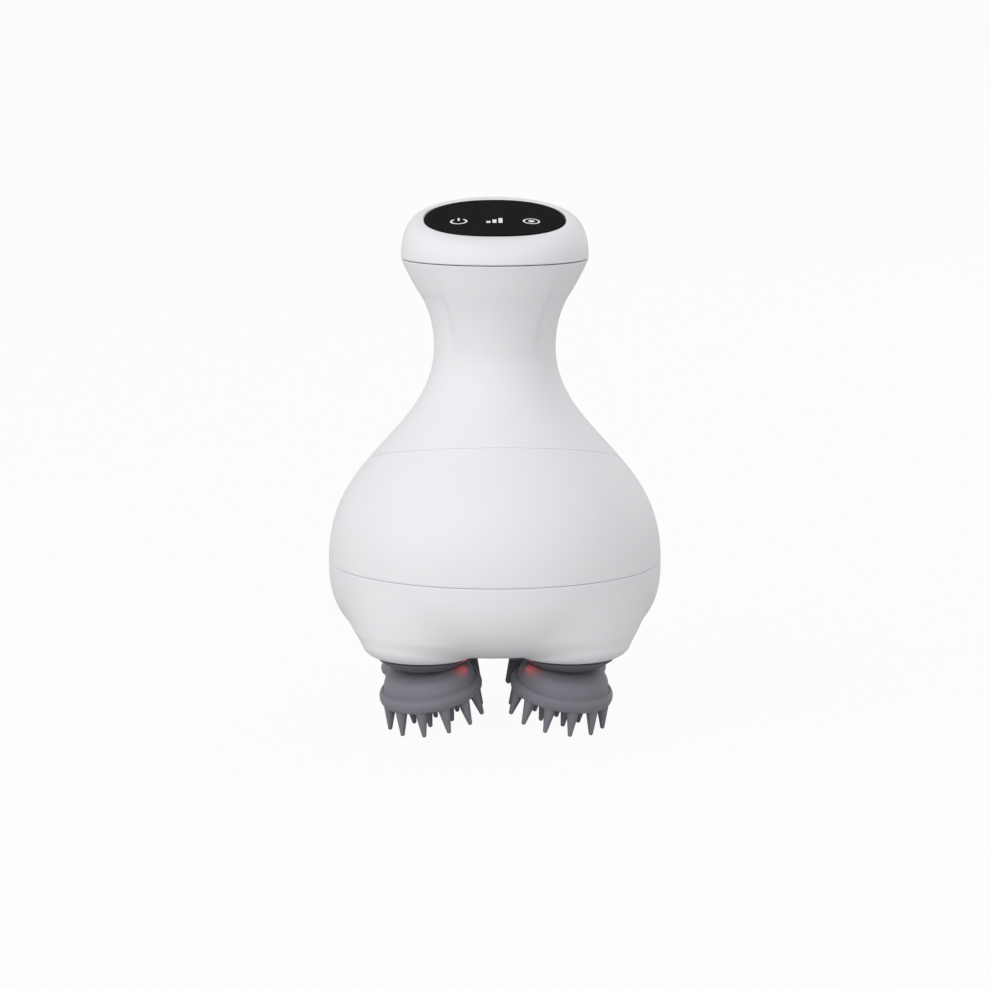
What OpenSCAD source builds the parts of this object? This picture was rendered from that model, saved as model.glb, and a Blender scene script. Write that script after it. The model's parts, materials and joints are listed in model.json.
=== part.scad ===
// Electric scalp massager: a hand-held bulb with four tilted silicone claws that turn under it.
// Millimetres. +Z is up, the front is -Y, and the lowest tooth tips stand on z = 0.

/* [Housing outline] */
// Width of the housing at the lower seam, its widest place
body_w = 100.4; // [94:0.2:108]
// Height of the shoulder above the lower seam
shoulder_h = 24; // [21:0.5:27]
// Width at the shoulder
shoulder_w = 86.2; // [80:0.2:90]
// Height of the flank, where the bulb falls away fastest
flank_h = 38; // [35:0.5:42]
// Width at the flank
flank_w = 62.8; // [56:0.2:68]
// Height of the waist, where the flank turns into the neck
waist_h = 50; // [46:0.5:54]
// Width at the waist
waist_w = 44.4; // [41:0.2:50]
// Height of the narrowest place of the neck
neck_h = 64; // [60:0.5:68]
// Width of the neck at its narrowest place
neck_w = 36.6; // [35.6:0.2:40]
// Depth of the neck from front to back
neck_d = 34; // [33.2:0.2:36.6]
// Height of the flare below the cap
flare_h = 80; // [76:0.5:84]
// Width at the flare
flare_w = 44.8; // [42:0.2:50]
// Height of the cap seam above the lower seam
cap_seam_h = 91; // [88:0.5:95]
// Width of the cap
cap_w = 56; // [54:0.2:60]
// Depth of the cap from front to back
cap_d = 52; // [50:0.2:56]
// Wall of the housing shells
wall = 2.4; // [1.8:0.1:2.6]
// Shadow gap that shows as a line at each seam
seam_gap = 0.3; // [0.15:0.05:0.5]
// Height of the slanted upper seam on the axis, above the lower seam
upper_seam_h = 31; // [28:0.5:33]
// Slant of the upper seam, higher at the front
upper_seam_tilt = 13.4; // [8:0.2:16]
// How far the front and back strips of the grip stand proud of the finger scoops
strip_proud = 0.9; // [0.2:0.1:1.4]
// Half of the angle that each grip strip covers
strip_angle = 41; // [34:1:48]
// Height of the step where the scoops end under the flare
scoop_top_h = 81; // [78:0.5:84]

/* [Cap and panel] */
// Height of the sloping top face above the cap seam, on the axis
cap_h = 11.9; // [11:0.1:14]
// Slope of the top face towards the front
panel_tilt = 13.2; // [10:0.2:16]
// Width of the control panel
panel_w = 42; // [38:0.2:43]
// Depth of the control panel
panel_d = 34; // [30:0.2:35]
// Thickness of the control panel
panel_t = 1.6; // [1.2:0.1:2]
// Fullness of the panel's outline: 2 is an ellipse, more is squarer
panel_fullness = 2.4; // [2:0.1:2.8]
// Clearance round the control panel
panel_gap = 0.25; // [0.15:0.05:0.35]
// Travel of the control panel, which is one large press key
key_travel = 0.7; // [0.4:0.1:0.8]
// Thickness of the cap's floor under the panel
cap_floor_t = 1.4; // [1.2:0.1:1.8]
// Diameter of the panel's two guide pins
guide_pin_d = 2.5; // [2:0.1:3]
// Distance between the guide pins
guide_pitch = 26; // [22:0.5:30]

/* [Base and bosses] */
// Height of the lower seam above the boss faces
bowl_h = 25.4; // [24.6:0.2:28]
// Rise of the bowl's underside above the boss faces
underside_rise = 0.3; // [0.1:0.1:1]
// Diameter of the flat middle of the underside
underside_d = 41; // [34:0.5:44]
// Fullness of the bowl's round: 2 is an ellipse, more is squarer
bowl_fullness = 2.6; // [2.3:0.05:2.8]
// Distance between neighbouring head axes, side to side and front to back
head_pitch = 43.6; // [43:0.2:46]
// Diameter of a boss where it is widest
boss_d = 35.2; // [34:0.2:36.4]
// Diameter of a boss's flat face
boss_face_d = 26; // [25.4:0.2:28]
// Height of the round at a boss's lower edge
boss_round_h = 4.8; // [4:0.1:5.2]

/* [Heads] */
// Tilt of each claw, its teeth leaning in towards the middle
claw_tilt = 13.6; // [11:0.2:18]
// Height above the boss face at which a claw's axis crosses its shaft's axis
pivot_rise = 2.5; // [2:0.1:3.2]
// Gap between a boss face and its collar
collar_gap = 0.4; // [0.3:0.05:0.6]
// Diameter of the collar's top
collar_d = 27; // [25:0.2:27.6]
// Diameter of the collar's lower edge
collar_low_d = 20.4; // [19:0.2:22]
// Height of the collar's conical rim
collar_h = 2.7; // [2.4:0.1:3]
// Diameter of the spigot that carries the claw
spigot_d = 8; // [7:0.2:9]
// Length of the spigot inside the claw
spigot_l = 4.6; // [4:0.1:5]

/* [Claws] */
// Diameter of the claw's rim
claw_d = 31; // [28:0.2:31.4]
// Distance along the claw's axis from the crossing point to the top of the rim
rim_drop = 11.4; // [10.8:0.1:12]
// Height of the rim band
rim_h = 3.8; // [3.2:0.1:4.4]
// Number of teeth in the outer ring
outer_teeth = 12; // [8:1:14]
// Number of teeth in the inner ring
inner_teeth = 6; // [4:1:7]
// Diameter of the circle of the outer teeth at their roots
outer_ring_d = 26.2; // [25:0.2:26.6]
// Diameter of the circle of the inner teeth at their roots
inner_ring_d = 13.6; // [12:0.2:15]
// Length of a tooth from its root to the centre of its round tip
tooth_l = 7.1; // [6:0.1:8]
// Diameter of a tooth at its root
tooth_root_d = 3.8; // [3:0.1:4]
// Diameter of a tooth's round tip
tooth_tip_d = 1.4; // [1:0.1:1.8]
// Outward splay of the outer teeth
tooth_splay = 10; // [4:1:12]

/* [Drive] */
// Diameter of the four head shafts
shaft_d = 5; // [4:0.1:5.6]
// Diameter of the drive shaft
drive_shaft_d = 4; // [3.6:0.1:4.6]
// Diameter of the drive shaft's lower pivot
pivot_d = 3; // [2.6:0.1:3.2]
// Diameter of the two idler pins
idler_pin_d = 3; // [2.6:0.1:3.4]
// Running clearance on the radius of turning shafts and pins
run_gap = 0.04; // [0.02:0.01:0.08]
// Clearance on the radius of parts that are pressed or pushed together
seat_gap = 0.02; // [0.01:0.01:0.05]
// Teeth of the drive gear's large wheel, which meshes with two output gears
drive_teeth = 50; // [50:1:50]
// Teeth of the drive gear's small wheel, which meshes with the two idlers
drive_small_teeth = 25; // [25:1:25]
// Teeth of the two output gears that the large wheel turns
output_teeth = 30; // [30:1:30]
// Teeth of the two output gears that the idlers turn
output_small_teeth = 15; // [15:1:15]
// Teeth of each idler
idler_teeth = 20; // [20:1:20]
// Pressure angle of all the teeth
pressure_angle = 25; // [25:1:25]
// Backlash of each gear at its pitch circle
backlash = 0.12; // [0.08:0.01:0.2]
// Face width of the gears
gear_t = 4; // [3.4:0.1:4.2]
// Height of the lower gear level above the boss faces
gear_low_h = 7.8; // [7.4:0.1:8.2]
// Height of the upper gear level above the boss faces
gear_high_h = 13.8; // [13.6:0.1:14.4]
// Height of the gear plate above the boss faces
plate_h = 20.3; // [19.6:0.1:20.6]
// Thickness of the gear plate
plate_t = 2.5; // [2:0.1:2.6]
// Diameter of the geared motor
motor_d = 24.4; // [22:0.2:26]
// Length of the motor's gearbox
gearbox_l = 10; // [8:0.5:12]
// Length of the motor's can
motor_l = 27; // [24:0.5:28]

/* [Power and electronics] */
// Diameter of the rechargeable cell
cell_d = 18; // [16:0.2:18.4]
// Length of the rechargeable cell
cell_l = 48; // [44:0.5:49]
// Wall of the battery tray
tray_wall = 1.2; // [1:0.1:1.4]
// Thickness of the circuit boards
board_t = 1.2; // [0.8:0.1:1.6]
// Width of the charging socket's shell
socket_w = 8.94; // [8.9:0.02:9]
// Height of the charging socket's shell
socket_h = 3.26; // [3.2:0.02:3.3]
// Width of the flap that covers the charging socket
flap_w = 12.6; // [12:0.2:13.4]
// Height of the flap that covers the charging socket
flap_h = 7.6; // [7:0.2:8.4]
// Thickness of the flap at its middle
flap_t = 1.3; // [1:0.1:1.4]
// Distance of the red lenses from the axis
lens_ring_r = 11; // [9:0.2:12]
// Diameter of each red lens
lens_d = 5; // [4:0.2:5.4]

/* [Fasteners] */
// Distance of the housing screws from the axis
screw_ring_r = 39; // [38.6:0.1:39.6]
// Thread diameter of the housing screws
screw_d = 3; // [2.6:0.1:3.2]
// Head diameter of the housing screws
screw_head_d = 5.6; // [5:0.1:5.8]
// Thread diameter of the small screws
small_screw_d = 2; // [1.6:0.1:2.2]

/* [Hidden] */
$fn = 64;

// Directions of the four heads, seen from above
AT_FL = 225;
AT_FR = 315;
AT_RL = 135;
AT_RR = 45;
AT_ALL = [AT_FL, AT_FR, AT_RL, AT_RR];
// Directions of the three housing screws: none at the front
AT_SCREWS = [0, 90, 180];

// A claw's lowest tooth tip fixes every height above the table
tip_ring_r = outer_ring_d / 2 + tooth_l * sin(tooth_splay);
tip_drop = rim_drop + rim_h + tooth_l * cos(tooth_splay);
pivot_z = tip_drop * cos(claw_tilt) + tip_ring_r * sin(claw_tilt) + tooth_tip_d / 2;
boss_z = pivot_z - pivot_rise;
seam_z = boss_z + bowl_h;
cap_seam_z = seam_z + cap_seam_h;
panel_z = cap_seam_z + cap_h;
upper_seam_z = seam_z + upper_seam_h;

// Head and gear centres: the module follows from the distance that the gears have to span
head_r = head_pitch / sqrt(2);
gear_module = 2 * head_r / (drive_teeth + output_teeth);
idler_r = gear_module * (drive_small_teeth + idler_teeth) / 2;

// Levels of the works above the boss faces
gear_low_z = boss_z + gear_low_h;
gear_high_z = boss_z + gear_high_h;
plate_z = boss_z + plate_h;
plate_top_z = plate_z + plate_t;
gearbox_top_z = plate_top_z + gearbox_l;
motor_top_z = gearbox_top_z + motor_l;
stack_gap = 0.3;
tray_z = motor_top_z + stack_gap;
cell_z = tray_z + tray_wall + stack_gap;

// Lip that locates one shell in the next
lip_t = 1.8;
lip_h = 3.2;
lip_gap = 0.3;
SIDES = 60;
HANDLE_RINGS = 24;
INNER_RINGS = 14;
CAP_RINGS = 9;
BOWL_STEPS = 14;
BELLY_STEPS = 20;
FAR = 200;

function smooth(a, b, x) = let (t = min(1, max(0, (x - a) / (b - a)))) t * t * (3 - 2 * t);

// Height, half-width and slope at each place where the housing's outline is set
OUTLINE = [
    [0, body_w / 2, 0],
    [shoulder_h, shoulder_w / 2, -0.68],
    [flank_h, flank_w / 2, -0.9],
    [waist_h, waist_w / 2, -0.55],
    [neck_h, neck_w / 2, 0],
    [flare_h, flare_w / 2, 0.53],
    [cap_seam_h, cap_w / 2, 0.4]
];

function stretch(h, i = 0) = i >= len(OUTLINE) - 2 || h < OUTLINE[i + 1][0] ? i : stretch(h, i + 1);

// Half-width of the housing at a height: a cubic between neighbouring places
function body_r(z) =
    let (h = z - seam_z, i = stretch(h), a = OUTLINE[i], b = OUTLINE[i + 1])
    let (span = b[0] - a[0], t = (h - a[0]) / span, u = 1 - t)
    (1 + 2 * t) * u * u * a[1] + t * u * u * span * a[2]
    + t * t * (3 - 2 * t) * b[1] - t * t * u * span * b[2];

// Depth over width: round in the bulb, narrower from front to back in the neck and cap
function depth_share(z) =
    let (h = z - seam_z, to_neck = smooth(flank_h + 2, neck_h - 6, h), to_cap = smooth(neck_h,
        cap_seam_h, h))
    1 + to_neck * (neck_d / neck_w - 1) + to_cap * (cap_d / cap_w - neck_d / neck_w);

// How proud the surface stands in the grip strips, at a height and an angle
function strip(z, angle) =
    let (h = z - seam_z, off = acos(min(1, abs(sin(angle)))))
    strip_proud * (1 - smooth(strip_angle - 5, strip_angle + 5, off))
    * smooth(neck_h - 4, neck_h + 10, h) * (1 - smooth(scoop_top_h - 3, scoop_top_h + 1, h));

// Height of the slanted seam at an angle, found by repeated correction
function slant_z(angle, lift = 0, z = 0, turns = 8) =
    let (from = z == 0 ? upper_seam_z : z)
    turns == 0 ? from
    : slant_z(angle, lift, upper_seam_z + lift - tan(upper_seam_tilt) * sin(angle) * body_r(from),
        turns - 1);

function handle_point(angle, share, inset, low, high) =
    let (foot = slant_z(angle, low), z = foot + (high - foot) * share, r = body_r(z))
    let (out = strip(z, angle) * (inset > 0 ? 0 : 1))
    [(r - inset + out) * cos(angle), (r * depth_share(z) - inset + out) * sin(angle), z];

function ring_angles(n) = [for (i = [0 : n - 1]) 360 * i / n];

// Four-cornered faces between ring k and the next one, all rings having n points
function band(k, n) = [for (i = [0 : n - 1]) [k * n + i, (k + 1) * n + i, (k + 1) * n + (i + 1) % n,
    k * n + (i + 1) % n]];

function ellipse_points(w, d, n = 64) = [for (i = [0 : n - 1]) [w / 2 * cos(360 * i / n),
    d / 2 * sin(360 * i / n)]];

// Signed power, for the outline of a full oval
function full(x, power) = sign(x) * pow(abs(x), power);

function panel_points(grow, n = 64) = [for (i = [0 : n - 1])
    [(panel_w / 2 + grow) * full(cos(360 * i / n), 2 / panel_fullness),
    (panel_d / 2 + grow) * full(sin(360 * i / n), 2 / panel_fullness)]];

// Round of the bowl from the flat underside to the lower seam, drawn in by an inset
function bowl_points(inset) =
    let (flat = underside_d / 2, wide = body_w / 2 - inset, low = boss_z + underside_rise + inset)
    let (power = 2 / bowl_fullness)
    [for (i = [0 : BOWL_STEPS]) let (t = 90 * i / BOWL_STEPS)
        [flat + (wide - flat) * pow(sin(t), power), low + (seam_z - low) * (1 - pow(cos(t), power))]];

function belly_points(inset, low, high) =
    [for (i = [0 : BELLY_STEPS]) let (z = low + (high - low) * i / BELLY_STEPS) [body_r(z) - inset, z]];

module ring(inner_r, outer_r, low, high) {
    difference() {
        translate([0, 0, low]) cylinder(r = outer_r, h = high - low);
        translate([0, 0, low - 1]) cylinder(r = inner_r, h = high - low + 2);
    }
}

module at_head(angle) {
    rotate([0, 0, angle]) translate([head_r, 0, 0]) children();
}

module on_claw_axis() {
    translate([0, 0, pivot_z]) rotate([0, claw_tilt, 0]) children();
}

module on_panel() {
    translate([0, 0, panel_z]) rotate([panel_tilt, 0, 0]) children();
}

// Everything below the slanted seam, moved up by a lift
module below_slant(lift) {
    translate([0, 0, upper_seam_z + lift]) rotate([-upper_seam_tilt, 0, 0])
        translate([-FAR / 2, -FAR / 2, -FAR]) cube([FAR, FAR, FAR]);
}

/* ---- Base ---- */

module bowl_solid(inset, top) {
    rotate_extrude() polygon(concat([[0, boss_z + underside_rise + inset]], bowl_points(inset),
        [[body_w / 2 - inset, top], [0, top]]));
}

// A boss: a round foot under the bowl that narrows again where it runs into the bowl's side
module boss_solid(angle, shrink, low, high) {
    r = boss_d / 2 - shrink;
    face = boss_face_d / 2 - shrink;
    round_h = boss_round_h;
    at_head(angle) rotate_extrude() polygon([[0, low], [face, low], [face + (r - face) * 0.45, low +
        round_h * 0.14],
        [face + (r - face) * 0.8, low + round_h * 0.45], [r, low + round_h], [r - 0.3, low + round_h +
            3.6],
        [r - 1, low + round_h + 6.6], [r - 2.1, low + round_h + 10], [r - 3.4, high], [0, high]]);
}

bush_flange = 1;
bush_od = shaft_d + 3;
seal_t = 1.4;
seal_od = shaft_d + 4.4;
bush_z = boss_z + seal_t + 0.3;
tube_top_z = boss_z + 6.6;
tube_r = seal_od / 2 + 1.7;
boss_high = bowl_h - 8.4;
head_recess_z = boss_z + 7;

module base_shell() {
    color("white") difference() {
        union() {
            difference() {
                union() {
                    bowl_solid(0, seam_z);
                    for (angle = AT_ALL) boss_solid(angle, 0, boss_z, boss_z + boss_high);
                }
                bowl_solid(wall, seam_z + 1);
                for (angle = AT_ALL) boss_solid(angle, wall, boss_z + wall, boss_z + boss_high + 1);
            }
            for (angle = AT_ALL) at_head(angle) translate([0, 0, boss_z + 0.5])
                cylinder(r = tube_r, h = tube_top_z - boss_z - 0.5);
            intersection() {
                for (angle = AT_SCREWS) rotate([0, 0, angle]) translate([screw_ring_r, 0, boss_z +
                    1])
                    cylinder(r = screw_head_d / 2 + 1.8, h = plate_z - boss_z - 1);
                bowl_solid(0.4, seam_z);
            }
            translate([0, 0, boss_z + 1]) cylinder(r = pivot_d / 2 + 3, h = led_board_z - boss_z - 1);
            translate([0, 0, boss_z + 1]) cylinder(r = pivot_d / 2 + 1.5, h = gear_low_z - boss_z - 2);
            rotate_extrude() polygon([[body_w / 2 - wall - lip_gap - lip_t, seam_z - 4],
                [body_w / 2 - wall + 0.6, seam_z - 4],
                [body_w / 2 - wall + 0.6, seam_z - 0.5], [body_w / 2 - wall - lip_gap, seam_z - 0.5],
                [body_w / 2 - wall - lip_gap, seam_z + lip_h], [body_w / 2 - wall - lip_gap - lip_t,
                    seam_z + lip_h]]);
        }
        for (angle = AT_ALL) at_head(angle) {
            translate([0, 0, boss_z - 1]) cylinder(r = seal_od / 2 + seat_gap, h = 1 + seal_t + 0.1);
            translate([0, 0, boss_z]) cylinder(r = bush_od / 2 + seat_gap, h = 12);
        }
        for (angle = AT_SCREWS) rotate([0, 0, angle]) translate([screw_ring_r, 0, boss_z]) {
            translate([0, 0, -1]) cylinder(r = screw_head_d / 2 + 0.3, h = head_recess_z - boss_z + 1);
            cylinder(r = screw_d / 2 + 0.2, h = bowl_h);
        }
        for (angle = AT_ALL) rotate([0, 0, angle]) translate([lens_ring_r, 0, boss_z - 1])
            cylinder(r = lens_d / 2 + seat_gap, h = wall + 3);
        translate([0, 0, boss_z + 2.6]) cylinder(r = pivot_d / 2 + run_gap, h = 12);
        ring(seal_seat_r, body_w / 2 - wall - lip_gap + 1, seal_seat_z, seal_seat_z + seal_w + 0.1);
    }
}

seal_w = 1.2;
seal_seat_r = body_w / 2 - wall - lip_gap - 0.8;
seal_seat_z = seam_z + 1;
seal_play = 0.05;
seal_out_r = body_r(seal_seat_z + seal_w + 2 * seal_play) - wall - seal_play;

module housing_seal() {
    color("dimgray") ring(seal_seat_r + seat_gap, seal_out_r, seal_seat_z + seal_play, seal_seat_z +
        seal_play + seal_w);
}

module base_screws() {
    color("silver") for (angle = AT_SCREWS) rotate([0, 0, angle]) translate([screw_ring_r, 0, 0])
        difference() {
        union() {
            translate([0, 0, head_recess_z - 2.2]) cylinder(r = screw_head_d / 2, h = 2.2);
            translate([0, 0, head_recess_z - 0.1]) cylinder(r = screw_d / 2, h = seam_z +
                9 - head_recess_z);
        }
        translate([0, 0, head_recess_z - 3]) cylinder(r = 1.3, h = 2, $fn = 6);
    }
}

module lower_bushes() {
    color("goldenrod") for (angle = AT_ALL) at_head(angle) difference() {
        union() {
            translate([0, 0, bush_z]) cylinder(r = bush_od / 2, h = tube_top_z + bush_flange - bush_z);
            translate([0, 0, tube_top_z + seat_gap]) cylinder(r = bush_od / 2 + 1,
                h = bush_flange - seat_gap);
        }
        translate([0, 0, bush_z - 1]) cylinder(r = shaft_d / 2 + run_gap, h = 12);
    }
}

module shaft_seals() {
    color("dimgray") for (angle = AT_ALL) at_head(angle) ring(shaft_d / 2 + run_gap, seal_od / 2,
        boss_z, boss_z + seal_t);
}

/* ---- Red lights under the base ---- */

lens_flange = 0.8;
led_t = 0.8;
floor_z = boss_z + underside_rise + wall;
led_board_z = floor_z + lens_flange + led_t + 0.3;

module led_lenses() {
    color("red") for (angle = AT_ALL) rotate([0, 0, angle]) translate([lens_ring_r, 0, 0]) {
        translate([0, 0, boss_z + underside_rise]) cylinder(r = lens_d / 2, h = wall + 0.2);
        translate([0, 0, floor_z + seat_gap]) cylinder(r = lens_d / 2 + 0.7, h = lens_flange - seat_gap);
    }
}

module led_chips() {
    color("crimson") for (angle = AT_ALL) rotate([0, 0, angle])
        translate([lens_ring_r - 1.5, -1.5, led_board_z - led_t]) cube([3, 3, led_t]);
}

module led_board() {
    color("seagreen") ring(pivot_d / 2 + 1.7, lens_ring_r + 4, led_board_z, led_board_z + board_t);
}

/* ---- Gears ---- */

function involute(a) = tan(a) * 180 / PI - a;

// Half of a tooth's angle at radius r, for a gear of n teeth
function tooth_half(n, r) =
    let (pitch_r = n * gear_module / 2, base_r = pitch_r * cos(pressure_angle), at = acos(min(1,
        base_r / r)))
    90 / n - backlash / 2 / pitch_r * 180 / PI + involute(pressure_angle) - involute(at);

function tooth_points(n, at) =
    let (pitch_r = n * gear_module / 2, base_r = pitch_r * cos(pressure_angle))
    let (tip_r = pitch_r + 0.9 * gear_module, root_r = pitch_r - 1.2 * gear_module, low_r = max(root_r +
        0.1, base_r))
    let (flank = [for (i = [0 : 3]) low_r + (tip_r - low_r) * i / 3], foot = tooth_half(n, low_r))
    concat(
        [[root_r * cos(at - foot), root_r * sin(at - foot)]],
        [for (r = flank) [r * cos(at - tooth_half(n, r)), r * sin(at - tooth_half(n, r))]],
        [for (i = [3 : -1 : 0]) let (r = flank[i]) [r * cos(at + tooth_half(n, r)), r * sin(at +
            tooth_half(n, r))]],
        [[root_r * cos(at + foot), root_r * sin(at + foot)]]
    );

function gear_points(n, phase) = [for (i = [0 : n - 1]) each tooth_points(n, phase + 360 * i / n)];

// Phase of a gear of m teeth that meshes with a gear of n teeth and phase p, lying in direction d from it
function meshed(d, p, n, m) = let (turn = (d - p) * n / 360, part = turn - floor(turn)) d + 180 +
    (part + 0.5) * 360 / m;

module spur(n, phase, low, bore_r, hub_r, hub_low, hub_high) {
    difference() {
        union() {
            translate([0, 0, low]) linear_extrude(gear_t) polygon(gear_points(n, phase));
            translate([0, 0, hub_low]) cylinder(r = hub_r, h = hub_high - hub_low);
        }
        translate([0, 0, hub_low - 1]) cylinder(r = bore_r, h = hub_high - hub_low + 2);
    }
}

module drive_gear() {
    web_r = drive_teeth * gear_module / 2 - 4;
    color("ivory") difference() {
        union() {
            translate([0, 0, gear_low_z]) linear_extrude(gear_t) polygon(gear_points(drive_teeth, 0));
            translate([0, 0, gear_low_z + 1]) cylinder(r = drive_small_teeth * gear_module / 2 - 2,
                h = gear_high_z - gear_low_z);
            translate([0, 0, gear_high_z]) linear_extrude(gear_t) polygon(gear_points(drive_small_teeth,
                0));
        }
        translate([0, 0, gear_low_z - 1]) cylinder(r = drive_shaft_d / 2 + seat_gap, h = 14);
        for (angle = [0 : 60 : 300]) rotate([0, 0, angle]) translate([(web_r + 8) / 2 + 1, 0,
            gear_low_z - 1])
            cylinder(r = 2.6, h = gear_t + 2);
    }
}

module output_gear(angle) {
    phase = meshed(angle, 0, drive_teeth, output_teeth);
    color("ivory") rotate([0, 0, angle]) translate([head_r, 0, 0]) rotate([0, 0, -angle])
        spur(output_teeth, phase, gear_low_z, shaft_d / 2 + seat_gap, shaft_d / 2 + 2, gear_low_z,
            gear_low_z + gear_t + 2);
}

module idler_gear(angle) {
    phase = meshed(angle, 0, drive_small_teeth, idler_teeth);
    color("ivory") rotate([0, 0, angle]) translate([idler_r, 0, 0]) rotate([0, 0, -angle])
        spur(idler_teeth, phase, gear_high_z, idler_pin_d / 2 + run_gap, idler_pin_d / 2 + 1.6,
            gear_high_z, plate_z - 0.4);
}

module small_output_gear(angle) {
    idler_phase = meshed(angle, 0, drive_small_teeth, idler_teeth);
    phase = meshed(angle, idler_phase, idler_teeth, output_small_teeth);
    color("ivory") rotate([0, 0, angle]) translate([head_r, 0, 0]) rotate([0, 0, -angle])
        spur(output_small_teeth, phase, gear_high_z, shaft_d / 2 + seat_gap, shaft_d / 2 + 1.6,
            gear_low_z + 1, gear_high_z + gear_t);
}

module idler_pins() {
    color("silver") for (angle = [AT_FR, AT_RL]) rotate([0, 0, angle]) translate([idler_r, 0, 0]) {
        translate([0, 0, gear_high_z - 1]) cylinder(r = idler_pin_d / 2, h = plate_top_z - gear_high_z +
            1);
        translate([0, 0, gear_high_z - 1.2]) cylinder(r = idler_pin_d / 2 + 0.9, h = 0.9);
    }
}

module gear_plate() {
    plate_r = body_w / 2 - wall - lip_gap - lip_t - 0.5;
    color("lightgray") difference() {
        translate([0, 0, plate_z]) cylinder(r = plate_r, h = plate_t);
        translate([0, 0, plate_z - 1]) cylinder(r = drive_shaft_d / 2 + 1.5, h = plate_t + 2);
        for (angle = AT_ALL) at_head(angle) translate([0, 0, plate_z - 1])
            cylinder(r = shaft_d / 2 + 1.2 + seat_gap, h = plate_t + 2);
        for (angle = [AT_FR, AT_RL]) rotate([0, 0, angle]) translate([idler_r, 0, plate_z - 1])
            cylinder(r = idler_pin_d / 2 + seat_gap, h = plate_t + 2);
        for (angle = AT_SCREWS) rotate([0, 0, angle]) translate([screw_ring_r, 0, plate_z - 1])
            cylinder(r = screw_d / 2 + 0.2, h = plate_t + 2);
        for (angle = [0, 180]) rotate([0, 0, angle]) translate([motor_screw_r, 0, plate_z - 1])
            cylinder(r = small_screw_d / 2 + 0.1, h = plate_t + 2);
        for (side = [-1, 1]) translate([0, side * tray_leg_y, plate_z - 1])
            cylinder(r = small_screw_d / 2 + 0.1, h = plate_t + 2);
    }
}

module upper_bushes() {
    color("goldenrod") for (angle = AT_ALL) at_head(angle)
        ring(shaft_d / 2 + run_gap, shaft_d / 2 + 1.2, plate_z - 0.6, plate_top_z);
}

/* ---- Motor ---- */

motor_screw_r = motor_d / 2 - 3.6;
shaft_in_box = 6;

module motor_gearbox() {
    color("silver") difference() {
        union() {
            translate([0, 0, plate_top_z + seat_gap]) cylinder(d = motor_d, h = gearbox_l - seat_gap);
            translate([0, 0, plate_top_z - 0.8]) cylinder(r = drive_shaft_d / 2 + 1.4, h = 1.5);
        }
        translate([0, 0, plate_top_z - 2]) cylinder(r = drive_shaft_d / 2 + run_gap, h = shaft_in_box +
            3);
        for (angle = [0, 180]) rotate([0, 0, angle]) translate([motor_screw_r, 0, plate_top_z - 1])
            cylinder(r = small_screw_d / 2 + seat_gap, h = 6);
    }
}

module motor() {
    color("lightgray") {
        translate([0, 0, gearbox_top_z + seat_gap]) cylinder(d = motor_d, h = motor_l - 1.5 - seat_gap);
        translate([0, 0, motor_top_z - 1.6]) cylinder(d = motor_d - 6, h = 0.8);
        translate([0, 0, motor_top_z - 1.6]) cylinder(d = 6, h = 1.6);
        for (side = [-1, 1]) translate([side * 6 - 0.25, -1, motor_top_z - 1.6]) cube([0.5, 2, 1.6]);
    }
}

module motor_screws() {
    color("silver") for (angle = [0, 180]) rotate([0, 0, angle]) translate([motor_screw_r, 0, 0]) {
        translate([0, 0, plate_z - 1.2]) cylinder(r = small_screw_d / 2 + 0.8, h = 1.18);
        translate([0, 0, plate_z - 0.3]) cylinder(r = small_screw_d / 2, h = plate_t + 4.8);
    }
}

module motor_shaft() {
    pivot_top_z = gear_low_z - 0.6;
    color("silver") {
        translate([0, 0, pivot_top_z]) cylinder(d = drive_shaft_d, h = plate_top_z +
            shaft_in_box - pivot_top_z);
        translate([0, 0, boss_z + 2.9]) cylinder(d = pivot_d, h = pivot_top_z - boss_z - 2.8);
    }
}

/* ---- Heads ---- */

shaft_foot_z = boss_z - collar_h - 0.8;
cone_r = collar_low_d / 2 - 3.4;
claw_neck_wall = 1.6;
claw_top_gap = 0.1;
neck_top = pivot_rise / cos(claw_tilt) + collar_h + 2.9;

// How far down the claw's axis a round of radius r has to start to stay inside the collar
function under_collar(r) = (pivot_rise + collar_gap + 0.4 + r * sin(claw_tilt)) / cos(claw_tilt);

module head_shaft(angle) {
    color("silver") at_head(angle) {
        translate([0, 0, shaft_foot_z]) cylinder(d = shaft_d, h = plate_top_z - shaft_foot_z);
    }
}

// Seat of a claw: a conical collar square to the shaft, with a leaning spigot below it
module collar(angle) {
    top_z = boss_z - collar_gap;
    color("dimgray") at_head(angle) difference() {
        union() {
            translate([0, 0, top_z - collar_h]) cylinder(r1 = collar_low_d / 2, r2 = collar_d / 2 - 0.3,
                h = collar_h - 0.5);
            translate([0, 0, top_z - 0.5]) cylinder(r1 = collar_d / 2 - 0.3, r2 = collar_d / 2 - 0.7,
                h = 0.5);
            on_claw_axis() {
                translate([0, 0, -neck_top]) cylinder(r = cone_r, h = neck_top - under_collar(cone_r));
                translate([0, 0, -neck_top - spigot_l]) cylinder(d = spigot_d, h = spigot_l + 0.5);
            }
        }
        translate([0, 0, shaft_foot_z - 0.1]) cylinder(r = shaft_d / 2 + seat_gap, h = 12);
    }
}

module tooth(ring_d, splay) {
    tip_r = tooth_tip_d / 2;
    translate([ring_d / 2, 0, -rim_drop - rim_h]) rotate([0, -splay, 0]) rotate_extrude()
        polygon(concat([[0, 1.2], [tooth_root_d / 2, 1.2], [tooth_root_d / 2, 0]],
            [for (i = [1 : 5]) [tip_r * cos(18 * i), -tooth_l - tip_r * sin(18 * i)]]));
}

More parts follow.
